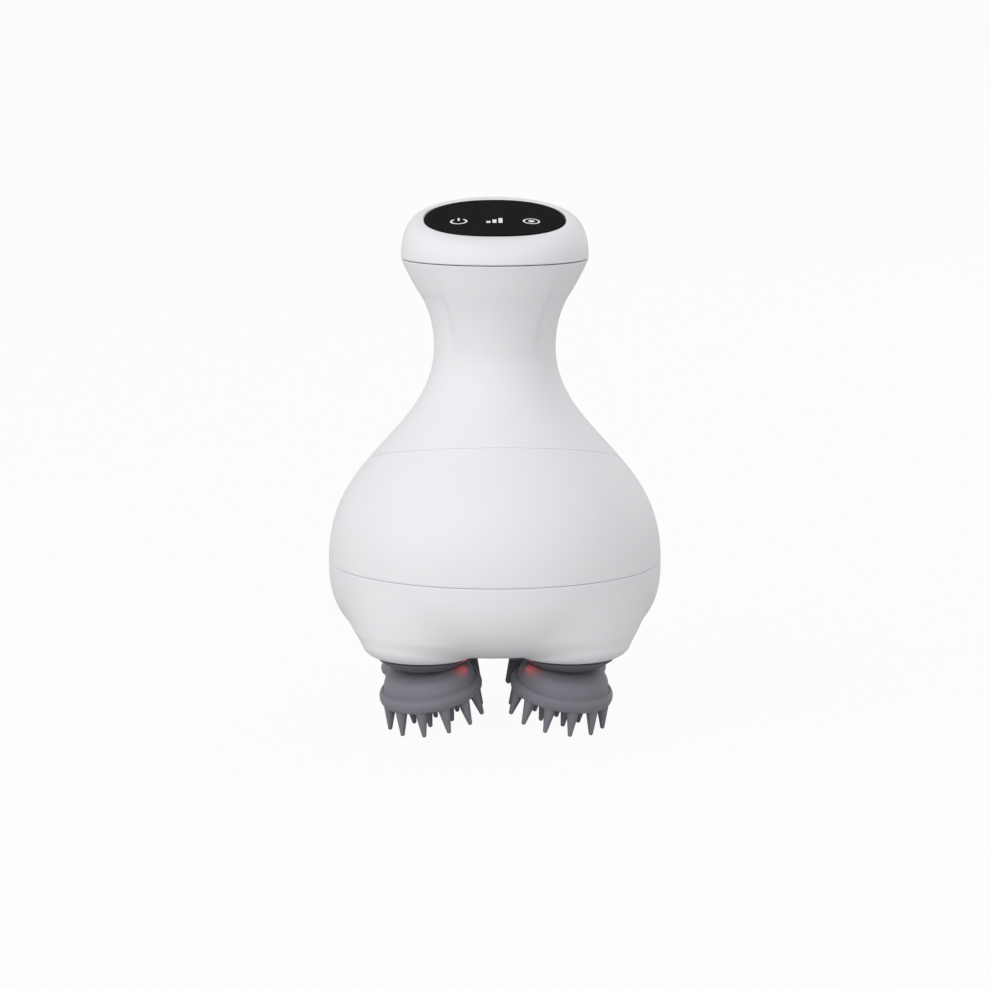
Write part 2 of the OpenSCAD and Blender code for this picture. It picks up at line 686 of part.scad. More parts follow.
// Silicone claw: a dished disc with a lipped rim, rings of blunt teeth below it and a flared neck
// above it that wraps the collar's cone and ends just below the collar
module claw(angle) {
    rim_r = claw_d / 2;
    edge = -rim_drop;
    floor_d = edge - rim_h;
    neck_r = cone_r + claw_neck_wall;
    cut_z = boss_z - collar_gap - collar_h - claw_top_gap;
    color("slategray") at_head(angle) difference() {
        on_claw_axis() difference() {
            union() {
                rotate_extrude() polygon([[0, floor_d], [rim_r - 0.6, floor_d], [rim_r - 0.1, floor_d +
                    0.5], [rim_r, edge - 1.4],
                    [rim_r - 0.15, edge - 0.5], [rim_r - 0.5, edge - 0.1], [rim_r - 0.95, edge],
                    [rim_r - 1.5, edge - 0.2], [rim_r - 2.2, edge - 0.35], [rim_r - 3.2, edge - 0.1],
                    [rim_r - 4.2, edge + 0.6], [rim_r - 5.1, edge + 1.8], [neck_r + 0.55, edge + 3.4],
                    [neck_r + 0.1, edge + 5.2], [neck_r, edge + 7.2], [neck_r, 0], [0, 0]]);
                for (i = [0 : outer_teeth - 1]) rotate([0, 0, 360 * i / outer_teeth])
                    tooth(outer_ring_d, tooth_splay);
                for (i = [0 : inner_teeth - 1]) rotate([0, 0, 360 * (i + 0.5) / inner_teeth])
                    tooth(inner_ring_d, 0);
                tooth(0, 0);
            }
            translate([0, 0, -neck_top - spigot_l - 0.1]) cylinder(r = spigot_d / 2 + seat_gap,
                h = spigot_l + 2);
            translate([0, 0, -neck_top - 0.15]) cylinder(r = cone_r + seat_gap, h = FAR);
        }
        translate([-FAR / 2, -FAR / 2, cut_z]) cube([FAR, FAR, FAR]);
    }
}

/* ---- Belly and handle ---- */

belly_boss_z = plate_top_z + 0.1;

module belly_shell() {
    high = upper_seam_z + 18;
    low = seam_z + seam_gap;
    color("white") difference() {
        union() {
            intersection() {
                difference() {
                    rotate_extrude() polygon(concat([[0, low]], belly_points(0, low, high), [[0, high]]));
                    rotate_extrude() polygon(concat([[0, low - 1]], belly_points(wall, low, high + 1),
                        [[0, high + 1]]));
                    translate([0, 0, low - 1]) cylinder(r = body_r(low) - wall, h = 1.5);
                }
                below_slant(-seam_gap / 2);
            }
            intersection() {
                rotate_extrude() polygon(concat(belly_points(wall - 0.6, low + 12, high),
                    [for (i = [BELLY_STEPS : -1 : 0]) belly_points(wall + lip_gap + lip_t - 0.1, low +
                        12, high)[i]]));
                difference() {
                    below_slant(-0.6);
                    below_slant(-4.6);
                }
            }
            intersection() {
                rotate_extrude() polygon(concat(belly_points(wall + lip_gap, low + 12, high),
                    [for (i = [BELLY_STEPS : -1 : 0]) belly_points(wall + lip_gap + lip_t, low + 12,
                        high)[i]]));
                difference() {
                    below_slant(lip_h);
                    below_slant(-4.2);
                }
            }
            for (angle = AT_SCREWS) rotate([0, 0, angle]) {
                translate([screw_ring_r, 0, belly_boss_z]) cylinder(r = screw_d / 2 + 2.2, h = 16);
                translate([screw_ring_r + 2, -0.9, seam_z + lip_h + 1]) cube([body_r(seam_z + 12)
                    - screw_ring_r - 3, 1.8, 9]);
            }
        }
        for (angle = AT_SCREWS) rotate([0, 0, angle]) translate([screw_ring_r, 0, belly_boss_z - 1])
            cylinder(r = screw_d / 2 + seat_gap, h = seam_z + 10 - belly_boss_z);
    }
}

port_z = seam_z + neck_h;
flap_face_y = neck_d / 2 - 0.1;
port_floor_y = flap_face_y - flap_t - 0.1;
flap_bulge_r = pow(neck_w / 2, 2) / (neck_d / 2);
hinge_x = -flap_w / 2 - 0.5;
hinge_y = port_floor_y + 0.75;

module stadium(w, h, l) {
    rotate([-90, 0, 0]) linear_extrude(l) {
        square([w - h, h], center = true);
        for (side = [-1, 1]) translate([side * (w - h) / 2, 0]) circle(d = h);
    }
}

module handle_shell() {
    n = SIDES;
    angles = ring_angles(n);
    low = seam_gap / 2;
    high = cap_seam_z - seam_gap / 2;
    outer = [for (k = [0 : HANDLE_RINGS]) each [for (a = angles) handle_point(a, k / HANDLE_RINGS, 0,
        low, high)]];
    inner = [for (k = [INNER_RINGS : -1 : 0]) each [for (a = angles) handle_point(a, k / INNER_RINGS,
        wall, low, high)]];
    count = HANDLE_RINGS + INNER_RINGS + 2;
    faces = [for (k = [0 : count - 2]) each band(k, n)];
    close = [for (i = [0 : n - 1]) [(count - 1) * n + i, i, (i + 1) % n, (count - 1) * n + (i + 1) % n]];
    color("white") difference() {
        polyhedron(concat(outer, inner), concat(faces, close), convexity = 6);
        translate([-flap_w / 2 - 0.3, port_floor_y, port_z - flap_h / 2 - 0.3]) cube([flap_w + 0.6, 8,
            flap_h + 0.6]);
        translate([hinge_x, port_floor_y, port_z - flap_h / 2 - 0.3]) cube([1, 8, flap_h + 0.6]);
        translate([hinge_x, hinge_y, port_z - flap_h / 2 - 0.3]) cylinder(r = 1.05, h = flap_h + 0.6);
        translate([0, port_floor_y - 4, port_z]) stadium(socket_w + 0.5, socket_h + 0.5, 8);
    }
}

// Flap over the charging socket: it swings on its left edge and plugs into the socket
module port_flap() {
    low_z = port_z - flap_h / 2;
    color("whitesmoke") {
        intersection() {
            union() {
                translate([-flap_w / 2, port_floor_y + 0.1, low_z]) cube([flap_w, 4, flap_h]);
                translate([hinge_x, port_floor_y + 0.1, low_z]) cube([1, 1.2, flap_h]);
            }
            translate([0, flap_face_y - flap_bulge_r, low_z - 1]) cylinder(r = flap_bulge_r,
                h = flap_h + 2, $fn = 240);
        }
        translate([hinge_x, hinge_y, low_z]) cylinder(r = 0.65, h = flap_h);
        translate([0, port_floor_y - 1.4, port_z]) stadium(socket_w - 1.5, socket_h - 1.5, 1.6);
    }
}

module usb_socket() {
    back = board_y + board_t + seat_gap;
    mouth = port_floor_y - 0.2;
    color("silver") difference() {
        translate([0, back, port_z]) stadium(socket_w, socket_h, mouth - back);
        difference() {
            translate([0, back + 0.8, port_z]) stadium(socket_w - 0.6, socket_h - 0.6, 10);
            translate([-3.3, back, port_z - 0.35]) cube([6.6, mouth - back - 2.4, 0.7]);
        }
    }
}

/* ---- Cap and panel ---- */

plateau = 0.78;
cap_power = 2 / 2.4;

function cap_point(angle, t) =
    let (rise = pow(sin(t), cap_power), s = plateau + (1 - plateau) * pow(cos(t), cap_power))
    let (x = s * cap_w / 2 * cos(angle), y = s * cap_d / 2 * sin(angle), foot = cap_seam_z + seam_gap / 2)
    [x, y, foot + rise * (panel_z + y * tan(panel_tilt) - foot)];

floor_w = -panel_t - key_travel - 0.2;
board_w = floor_w - cap_floor_t - 4.1;
board_span = 26;
board_depth = 15;
switch_h = 3.1;

module top_cap() {
    n = SIDES;
    angles = ring_angles(n);
    points = [for (k = [0 : CAP_RINGS]) each [for (a = angles) cap_point(a, 90 * k / CAP_RINGS)]];
    faces = concat([[for (i = [0 : n - 1]) i]], [for (k = [0 : CAP_RINGS - 1]) each band(k, n)],
        [[for (i = [n - 1 : -1 : 0]) CAP_RINGS * n + i]]);
    plug_w = (body_r(cap_seam_z - 2.6) - wall - lip_gap) * 2;
    plug_d = (body_r(cap_seam_z - 2.6) * depth_share(cap_seam_z - 2.6) - wall - lip_gap) * 2;
    color("white") difference() {
        union() {
            difference() {
                polyhedron(points, faces, convexity = 4);
                intersection() {
                    translate([0, 0, cap_seam_z - 1]) linear_extrude(20)
                        polygon(ellipse_points(plug_w - 2.4, plug_d - 2.4));
                    on_panel() translate([-FAR / 2, -FAR / 2, floor_w - cap_floor_t - FAR]) cube([FAR,
                        FAR, FAR]);
                }
            }
            difference() {
                translate([0, 0, cap_seam_z - 2.4]) linear_extrude(4) polygon(ellipse_points(plug_w,
                    plug_d));
                translate([0, 0, cap_seam_z - 3]) linear_extrude(6) polygon(ellipse_points(plug_w - 2.6,
                    plug_d - 2.6));
            }
            on_panel() for (side = [-1, 1]) translate([side * (board_span / 2 - 3), board_depth / 2 - 3,
                board_w])
                cylinder(r = 2, h = floor_w - board_w - 0.5);
        }
        on_panel() {
            translate([0, 0, floor_w]) linear_extrude(10) polygon(panel_points(panel_gap));
            for (side = [-1, 1]) translate([side * guide_pitch / 2, 0, -12])
                cylinder(r = guide_pin_d / 2 + 0.06, h = 12);
            translate([0, 0, -12]) cylinder(r = 2.4, h = 12);
            for (side = [-1, 1]) translate([side * (board_span / 2 - 3), board_depth / 2 - 3,
                board_w - 1])
                cylinder(r = small_screw_d / 2 + seat_gap, h = 4);
        }
    }
}

// Glossy plate with a full oval outline, slightly crowned from side to side, on two guide pins
module control_panel() {
    crown_r = 240;
    color("black") on_panel() {
        intersection() {
            translate([0, 0, -panel_t]) linear_extrude(panel_t + 1) polygon(panel_points(0));
            translate([0, FAR / 2, 0.5 - crown_r]) rotate([90, 0, 0]) cylinder(r = crown_r, h = FAR,
                $fn = 256);
        }
        translate([0, 0, -panel_t - 1.5]) cylinder(r = 1.8, h = 2);
        for (side = [-1, 1]) translate([side * guide_pitch / 2, 0, floor_w - cap_floor_t - 1.6])
            cylinder(d = guide_pin_d, h = -floor_w + cap_floor_t + 1);
    }
}

switch_top = board_w + switch_h;

module switch_plunger() {
    color("dimgray") on_panel() translate([0, 0, switch_top - 0.6])
        cylinder(r = 1.5, h = -panel_t - 1.5 - seat_gap - switch_top + 0.6);
}

module tact_switch() {
    color("silver") on_panel() difference() {
        translate([-3, -3, board_w + seat_gap]) cube([6, 6, switch_h - seat_gap]);
        translate([0, 0, switch_top - 0.6 - key_travel - 0.2]) cylinder(r = 1.6, h = 4);
    }
}

module key_board() {
    color("seagreen") on_panel() difference() {
        translate([-board_span / 2, -board_depth / 2, board_w - board_t]) cube([board_span, board_depth,
            board_t - seat_gap]);
        for (side = [-1, 1]) translate([side * (board_span / 2 - 3), board_depth / 2 - 3, board_w - 3])
            cylinder(r = small_screw_d / 2 + 0.1, h = 4);
        for (side = [-1, 1]) translate([side * guide_pitch / 2, 0, board_w - 3])
            cylinder(r = guide_pin_d / 2 + 0.4, h = 4);
    }
}

module key_board_screws() {
    color("silver") on_panel() for (side = [-1, 1]) translate([side * (board_span / 2 - 3),
        board_depth / 2 - 3, 0]) {
        translate([0, 0, board_w - board_t - 1.3]) cylinder(r = small_screw_d / 2 + 0.8, h = 1.28);
        translate([0, 0, board_w - board_t - 0.5]) cylinder(r = small_screw_d / 2, h = 4);
    }
}

/* ---- Battery and main board ---- */

cell_y = -3.4;
tray_r = cell_d / 2 + 0.15;
board_y = cell_y + tray_r + tray_wall + 0.15;
tray_top_z = cell_z + cell_l + stack_gap;
tray_leg_y = motor_d / 2 + 2.6;

module battery_cell() {
    color("steelblue") translate([0, cell_y, cell_z]) {
        cylinder(d = cell_d, h = cell_l - 1);
        cylinder(d = 5.5, h = cell_l);
    }
}

// Tray: a cradle behind the cell, on two legs that stand on the gear plate beside the motor
module battery_tray() {
    leg_w = 7;
    color("gray") difference() {
        union() {
            translate([0, 0, tray_z]) cylinder(r = tray_leg_y + 1.2, h = tray_wall);
            translate([0, cell_y, tray_z]) difference() {
                cylinder(r = tray_r + tray_wall, h = tray_top_z - tray_z);
                translate([0, 0, tray_wall]) cylinder(r = tray_r, h = FAR);
                translate([-FAR / 2, -FAR, tray_wall]) cube([FAR, FAR, FAR]);
            }
            for (side = [-1, 1]) translate([-leg_w / 2, side * tray_leg_y - 1.2, plate_top_z])
                cube([leg_w, 2.4, tray_z - plate_top_z + 0.5]);
            for (side = [-1, 1]) translate([-leg_w / 2, side * tray_leg_y - (side > 0 ? 1.2 : 3.6),
                plate_top_z])
                cube([leg_w, 4.8, 5]);
        }
        for (side = [-1, 1]) translate([0, side * tray_leg_y, plate_top_z - 1])
            cylinder(r = small_screw_d / 2 + seat_gap, h = 5);
        for (side = [-1, 1]) translate([side * (tray_leg_y + 1.2), 0, tray_z - 1]) cylinder(r = 4,
            h = tray_wall + 2);
    }
}

module tray_screws() {
    color("silver") for (side = [-1, 1]) translate([0, side * tray_leg_y, 0]) {
        translate([0, 0, plate_z - 1.2]) cylinder(r = small_screw_d / 2 + 0.8, h = 1.18);
        translate([0, 0, plate_z - 0.3]) cylinder(r = small_screw_d / 2, h = plate_t + 3.8);
    }
}

module main_board() {
    w = 17;
    color("seagreen") {
        translate([-w / 2, board_y, cell_z + 2]) cube([w, board_t, cell_l - 8]);
        translate([-5, board_y + board_t - 0.1, cell_z + 6]) cube([5, 1.1, 5]);
        translate([2, board_y + board_t - 0.1, cell_z + 5]) cube([3.6, 1.5, 3.6]);
        translate([-2, board_y + board_t - 0.1, cell_z + 32]) cube([4, 1, 4]);
    }
}

top_cap();
control_panel();
switch_plunger();
tact_switch();
key_board();
key_board_screws();
handle_shell();
port_flap();
usb_socket();
main_board();
battery_tray();
battery_cell();
tray_screws();
belly_shell();
housing_seal();
base_shell();
base_screws();
gear_plate();
motor();
motor_gearbox();
motor_screws();
motor_shaft();
drive_gear();
output_gear(AT_FL);  // output_gear_fl
output_gear(AT_RR);  // output_gear_rr
small_output_gear(AT_FR);  // output_gear_fr
small_output_gear(AT_RL);  // output_gear_rl
idler_gear(AT_FR);  // idler_gear_fr
idler_gear(AT_RL);  // idler_gear_rl
idler_pins();
head_shaft(AT_FL);  // head_shaft_fl
head_shaft(AT_FR);  // head_shaft_fr
head_shaft(AT_RL);  // head_shaft_rl
head_shaft(AT_RR);  // head_shaft_rr
collar(AT_FL);  // collar_fl
collar(AT_FR);  // collar_fr
collar(AT_RL);  // collar_rl
collar(AT_RR);  // collar_rr
claw(AT_FL);  // claw_fl
claw(AT_FR);  // claw_fr
claw(AT_RL);  // claw_rl
claw(AT_RR);  // claw_rr
lower_bushes();
upper_bushes();
shaft_seals();
led_board();
led_chips();
led_lenses();
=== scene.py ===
# %% [markdown]
# # A scalp massager in white and grey
#
# The object is a hand-held bulb of white moulded plastic. A glossy black oval in its cap is the
# only key, and four grey silicone claws turn under it. The engineering model already has every
# part in its right place, so this lesson dresses it: the parts that are seen get smooth
# surfaces worked out from formulas, and everything gets a finish.
#
# The model is loaded first. Blender counts in metres, and the box of the model is kept; the cap's top is
# held under it.

# %% Load the model
import json
import math

import bpy
import numpy as np
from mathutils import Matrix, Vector


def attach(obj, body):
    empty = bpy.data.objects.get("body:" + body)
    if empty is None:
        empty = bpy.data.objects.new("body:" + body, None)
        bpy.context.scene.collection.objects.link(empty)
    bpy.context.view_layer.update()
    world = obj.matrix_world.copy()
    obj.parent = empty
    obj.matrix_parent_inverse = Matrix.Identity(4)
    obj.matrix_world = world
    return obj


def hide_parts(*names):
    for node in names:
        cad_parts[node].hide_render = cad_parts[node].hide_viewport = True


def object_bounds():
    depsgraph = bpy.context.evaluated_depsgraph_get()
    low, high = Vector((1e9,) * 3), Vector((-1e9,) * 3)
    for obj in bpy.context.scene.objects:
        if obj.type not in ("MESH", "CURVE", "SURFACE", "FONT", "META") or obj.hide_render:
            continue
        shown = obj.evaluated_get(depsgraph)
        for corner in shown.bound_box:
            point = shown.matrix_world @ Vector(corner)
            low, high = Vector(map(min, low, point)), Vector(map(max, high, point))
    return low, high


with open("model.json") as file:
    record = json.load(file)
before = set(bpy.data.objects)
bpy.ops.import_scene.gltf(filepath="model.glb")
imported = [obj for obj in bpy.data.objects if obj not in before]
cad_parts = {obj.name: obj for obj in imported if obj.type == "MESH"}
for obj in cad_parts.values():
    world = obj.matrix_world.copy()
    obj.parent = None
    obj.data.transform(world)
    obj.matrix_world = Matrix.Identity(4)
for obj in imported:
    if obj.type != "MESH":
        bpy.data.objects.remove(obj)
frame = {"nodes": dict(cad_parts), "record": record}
model_box = [list(corner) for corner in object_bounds()]
print("model box in metres:", model_box)

# %% [markdown]
# ## Camera
#
# The photograph was taken from a little above, with a long lens: the oval of the key is seen
# nearly edge on and the two sides of the bulb run almost parallel. A lens of 120 mm at about a
# metre gives that. The object is turned by about a degree, which is easier to do by walking the
# camera round it.

# %% Camera
MM = 0.001
LENS_MM, SENSOR_MM = 120, 36
VIEW_TARGET = np.array([0.05, 0.0, 67.87])
VIEW_PLACE = VIEW_TARGET + np.array([-20.6, -983.6, 162.0])


def aim(thing, place, target):
    """Puts a lamp or camera at a place in millimetres, looking at a target."""
    start, end = Vector(place) * MM, Vector(target) * MM
    thing.location = start
    thing.rotation_euler = (end - start).to_track_quat("-Z", "Y").to_euler()


camera = bpy.data.objects.new("camera", bpy.data.cameras.new("camera"))
bpy.context.scene.collection.objects.link(camera)
camera.data.lens = LENS_MM
camera.data.sensor_width = SENSOR_MM
camera.data.clip_start = 0.05
aim(camera, VIEW_PLACE, VIEW_TARGET)
bpy.context.scene.camera = camera
print("camera at", [round(v, 3) for v in camera.location], "m")

# %% [markdown]
# ## Sizes
#
# These are sizes of the engineering model, in millimetres, and a few that only the looks need.
# The seams between the shells are real gaps, so the lines that they draw on the object are real
# shadows. The cap's seam is dark on the photograph, the lower one is fine and the slanted one is
# hardly seen, so each has its own gap and its own rounded edge.

# %% Sizes of the housing
BODY_W, CAP_W, CAP_D = 100.4, 56.0, 52.0
NECK_W, NECK_D = 36.6, 34.0
FLANK_H, WAIST_H, NECK_H, CAP_SEAM_H = 38.0, 50.0, 64.0, 91.0
WALL, SEAM_GAP = 2.4, 0.3
LOWER_GAP, SLANT_GAP = 0.1, 0.04
SEAM_EDGE, SLANT_EDGE = 0.25, 0.06
UPPER_SEAM_H, UPPER_SEAM_TILT = 31.0, math.radians(13.4)
STRIP_PROUD, STRIP_HALF, SCOOP_TOP_H, SCOOP_DEPTH = 0.9, 41.0, 81.0, 0.3
OUTLINE_H = np.array([0, 24, FLANK_H, WAIST_H, NECK_H, 80, CAP_SEAM_H])
OUTLINE_R = np.array([BODY_W, 86.2, 62.8, 44.4, NECK_W, 44.8, CAP_W]) / 2
OUTLINE_SLOPE = np.array([0, -0.68, -0.9, -0.55, 0, 0.53, 0.4])

CLAW_TILT = math.radians(13.6)
RIM_DROP, RIM_H, CLAW_R = 11.4, 3.8, 15.5
OUTER_RING_R, INNER_RING_R, TOOTH_L, TIP_R = 13.1, 6.8, 7.1, 0.7
OUTER_TEETH, INNER_TEETH = 12, 6
TOOTH_SPLAY = math.radians(10)
PIVOT_RISE, COLLAR_GAP, COLLAR_H = 2.5, 0.4, 2.7
HEAD_R = 43.6 / math.sqrt(2)

tip_ring_r = OUTER_RING_R + TOOTH_L * math.sin(TOOTH_SPLAY)
tip_drop = RIM_DROP + RIM_H + TOOTH_L * math.cos(TOOTH_SPLAY)
PIVOT_Z = tip_drop * math.cos(CLAW_TILT) + tip_ring_r * math.sin(CLAW_TILT) + TIP_R
BOSS_Z = PIVOT_Z - PIVOT_RISE
SEAM_Z = BOSS_Z + 25.4
CAP_SEAM_Z = SEAM_Z + CAP_SEAM_H
CAP_H = 11.9
PANEL_Z, PANEL_TILT = CAP_SEAM_Z + CAP_H, math.radians(13.2)
UPPER_SEAM_Z = SEAM_Z + UPPER_SEAM_H
HEADS = {"fl": 225, "fr": 315, "rl": 135, "rr": 45}
print("lower seam at", round(SEAM_Z, 2), "mm, cap seam at", round(CAP_SEAM_Z, 2), "mm")

# %% [markdown]
# ## Surfaces from rows
#
# A moulded shell is easiest to describe as rows: rings of points, one above the other. Where
# the last row meets the first, the skin closes on itself like a tyre and is a wall with a real
# thickness. Where it doesn't, each end is closed with one flat face. Rows that run upwards, with
# points that run anticlockwise as seen from above, have their faces turned outwards.

# %% From rows to a mesh
def rows_to_faces(rows, closed):
    """Faces between each row and the next: point i, point i + 1, and the two above them.
    A closed section joins its last row to its first; an open one gets a face at each end."""
    count, around = rows.shape[0], rows.shape[1]
    first = np.arange(count if closed else count - 1)[:, None]
    here = np.arange(around)[None, :]
    nxt, above = (here + 1) % around, (first + 1) % count
    quads = np.stack(
        [first * around + here, first * around + nxt, above * around + nxt, above * around + here], -1
    ).reshape(-1, 4)
    faces = quads.tolist()
    if not closed:
        faces.append(list(range(around - 1, -1, -1)))
        faces.append(list(range((count - 1) * around, count * around)))
    return rows.reshape(-1, 3), faces


def joined(parts):
    """Several (points, faces) pairs as one pair, each part's faces counted on from the last."""
    points, faces, start = [], [], 0
    for part_points, part_faces in parts:
        points.append(part_points)
        faces.extend([[start + i for i in face] for face in part_faces])
        start += len(part_points)
    return np.concatenate(points), faces


def new_object(name, parts, sharp=38):
    """An object at the origin whose mesh holds the parts, in metres, smooth but for edges that
    turn by more than the sharp angle."""
    points, faces = joined(parts)
    mesh = bpy.data.meshes.new(name)
    mesh.from_pydata((points * MM).tolist(), [], faces)
    mesh.update()
    mesh.polygons.foreach_set("use_smooth", np.ones(len(mesh.polygons), dtype=bool))
    mesh.set_sharp_from_angle(angle=math.radians(sharp))
    made = bpy.data.objects.new(name, mesh)
    bpy.context.scene.collection.objects.link(made)
    print(name, len(points), "points,", len(faces), "faces")
    return made


def angles_round(count):
    """Angles of a ring's points, in radians."""
    return np.arange(count) * 2 * np.pi / count


def lathe(profile, around=96):
    """A profile of (radius, height) pairs turned about the Z axis, its ends closed flat."""
    turn = angles_round(around)
    r, z = np.asarray(profile, dtype=float).T
    rows = np.stack(
        [r[:, None] * np.cos(turn), r[:, None] * np.sin(turn), np.repeat(z[:, None], around, 1)], -1
    )
    return rows_to_faces(rows, False)


def eased(profile, steps=5):
    """A smooth line through the given points: each stretch is the cubic whose slope at a point
    is that of the line between its two neighbours."""
    p = np.asarray(profile, dtype=float)
    q = np.concatenate([p[:1] * 2 - p[1:2], p, p[-1:] * 2 - p[-2:-1]])
    t = (np.arange(steps) / steps)[None, :, None]
    a, b, c, d = q[:-3, None], q[1:-2, None], q[2:-1, None], q[3:, None]
    line = 0.5 * (2 * b + (c - a) * t + (2 * a - 5 * b + 4 * c - d) * t**2 + (3 * b - a - 3 * c + d) * t**3)
    return np.concatenate([line.reshape(-1, p.shape[1]), p[-1:]])


def turned_z(points, angle):
    """Points turned about the Z axis by an angle in radians."""
    c, s = math.cos(angle), math.sin(angle)
    return points @ np.array([[c, s, 0], [-s, c, 0], [0, 0, 1]])


def turned_y(points, angle):
    """Points turned about the Y axis by an angle in radians."""
    c, s = math.cos(angle), math.sin(angle)
    return points @ np.array([[c, 0, -s], [0, 1, 0], [s, 0, c]])


def turned_x(points, angle):
    """Points turned about the X axis by an angle in radians."""
    c, s = math.cos(angle), math.sin(angle)
    return points @ np.array([[1, 0, 0], [0, c, s], [0, -s, c]])


# %% [markdown]
# ## Cutting holes
#
# A hole is cut by subtracting a plug from the shell. Blender's Boolean modifier does this
# exactly, and its result is kept as the shell's mesh, so nothing has to be worked out again
# when the part is posed.

# %% Cutting
def cut(piece, plugs, sharp=38):
    """Takes the plugs, (points, faces) pairs that don't touch each other, out of the piece."""
    tool = new_object(piece.name + "_plugs", plugs)
    step = piece.modifiers.new("cut", "BOOLEAN")
    step.operation, step.solver, step.object = "DIFFERENCE", "EXACT", tool
    bpy.context.view_layer.update()
    depsgraph = bpy.context.evaluated_depsgraph_get()
    result = bpy.data.meshes.new_from_object(piece.evaluated_get(depsgraph))
    old = piece.data
    piece.modifiers.clear()
    piece.data = result
    result.name = piece.name
    result.polygons.foreach_set("use_smooth", np.ones(len(result.polygons), dtype=bool))
    result.set_sharp_from_angle(angle=math.radians(sharp))
    bpy.data.meshes.remove(old)
    bpy.data.objects.remove(tool)
    print(piece.name, "after cutting:", len(result.polygons), "faces")


# %% [markdown]
# ## Outline of the housing
#
# Seen from the front the housing is a bulb, a waist, a neck and a flare, one flowing line from
# the lower seam to the cap. It is a chain of cubics through seven places. From the side the
# neck is a little thinner. The grip has a front and a back strip that stand slightly proud of
# the finger scoops at the sides, and the scoops end in a soft step under the flare.

# %% Outline
def ramp(a, b, x):
    """0 below a, 1 above b, and a smooth S between them."""
    t = np.clip((x - a) / (b - a), 0, 1)
    return t * t * (3 - 2 * t)


def housing_radius(z):
    """Half-width at height z: between two places, the cubic with their radii and slopes."""
    h = np.clip(z - SEAM_Z, 0, CAP_SEAM_H)
    i = np.clip(np.searchsorted(OUTLINE_H, h, side="right") - 1, 0, len(OUTLINE_H) - 2)
    span = OUTLINE_H[i + 1] - OUTLINE_H[i]
    t = (h - OUTLINE_H[i]) / span
    u = 1 - t
    return (
        (1 + 2 * t) * u * u * OUTLINE_R[i]
        + t * u * u * span * OUTLINE_SLOPE[i]
        + t * t * (3 - 2 * t) * OUTLINE_R[i + 1]
        - t * t * u * span * OUTLINE_SLOPE[i + 1]
    )


def depth_share(z):
    """Depth over width: 1 in the bulb, the neck's share at the neck, the cap's share at the top."""
    h = z - SEAM_Z
    neck, cap = NECK_D / NECK_W, CAP_D / CAP_W
    return 1 + ramp(FLANK_H + 2, NECK_H - 6, h) * (neck - 1) + ramp(NECK_H, CAP_SEAM_H, h) * (cap - neck)


def grip_relief(z, angle):
    """How far the grip stands out of the plain outline. The strips are proud within their half
    angle of front and back and run out slowly into the flare. The scoops between them are a
    little hollow and end in a step."""
    h = z - SEAM_Z
    off = np.degrees(np.arccos(np.minimum(1, np.abs(np.sin(angle)))))
    side = 1 - ramp(STRIP_HALF - 5, STRIP_HALF + 5, off)
    strip_ends = ramp(NECK_H - 4, NECK_H + 10, h) * (1 - ramp(SCOOP_TOP_H - 1, CAP_SEAM_H - 1, h))
    scoop_ends = ramp(NECK_H - 4, NECK_H + 12, h) * (1 - ramp(SCOOP_TOP_H - 2, SCOOP_TOP_H + 1, h))
    return STRIP_PROUD * side * strip_ends - SCOOP_DEPTH * (1 - side) * scoop_ends


def slant_height(angle, lift):
    """Height of the slanted seam: its middle, less its slope times how far back the point lies."""
    z = np.full_like(angle, UPPER_SEAM_Z + lift)
    for _ in range(8):
        z = UPPER_SEAM_Z + lift - math.tan(UPPER_SEAM_TILT) * np.sin(angle) * housing_radius(z)
    return z


def housing_rows(angle, z, inset):
    """Points of the housing's skin at heights z, drawn in by an inset. Rows run down the array."""
    r = housing_radius(z)
    proud = grip_relief(z, angle) * np.where(inset < WALL, 1, 0)
    x = (r - inset + proud) * np.cos(angle)
    y = (r * depth_share(z) - inset + proud) * np.sin(angle)
    return np.stack([x, y, z], -1)


def wall_section(foot, top, steps, low_edge, high_edge, inner=10):
    """Heights and insets once round a wall: foot, rounded edge, outside, rounded edge, top and
    back down the inside. foot and top are heights for each angle."""
    turn = np.radians([0, 22.5, 45, 67.5, 90])
    low_z = foot + low_edge * (1 - np.cos(turn))[:, None]
    low_in = low_edge * (1 - np.sin(turn))
    share = (np.arange(1, steps) / steps)[:, None]
    mid_z = (foot + low_edge) + share * (top - foot - low_edge - high_edge)
    high_z = top - high_edge * (1 - np.sin(turn))[:, None]
    high_in = high_edge * (1 - np.cos(turn))
    back = (np.arange(inner, -1, -1) / inner)[:, None]
    back_z = foot + back * (top - foot)
    z = np.concatenate([low_z, mid_z, high_z, back_z])
    inset = np.concatenate([low_in, np.zeros(steps - 1), high_in, np.full(inner + 1, WALL)])
    return z, inset[:, None]


print("narrowest radius", round(float(housing_radius(np.array(SEAM_Z + NECK_H))), 2), "mm")

# %% [markdown]
# ## Belly and handle
#
# The belly shell runs from the lower seam to a seam that slants back like a collar, and the
# handle goes on from there. Both are walls of the same outline, so their surfaces agree across
# the seam. The back of the handle has a shallow pocket for the flap over the charging socket. It
# is cut with one plug that has a round for the hinge at its side, and a slot for the charging
# plug goes on through the wall.

# %% Belly shell
AROUND, BELLY_ROWS, HANDLE_ROWS = 300, 60, 110
turn = angles_round(AROUND)
belly_foot = np.full(AROUND, SEAM_Z + LOWER_GAP)
belly_z, belly_inset = wall_section(
    belly_foot, slant_height(turn, -SLANT_GAP / 2), BELLY_ROWS, SEAM_EDGE, SLANT_EDGE
)
belly = new_object("belly_skin", [rows_to_faces(housing_rows(turn, belly_z, belly_inset), True)])

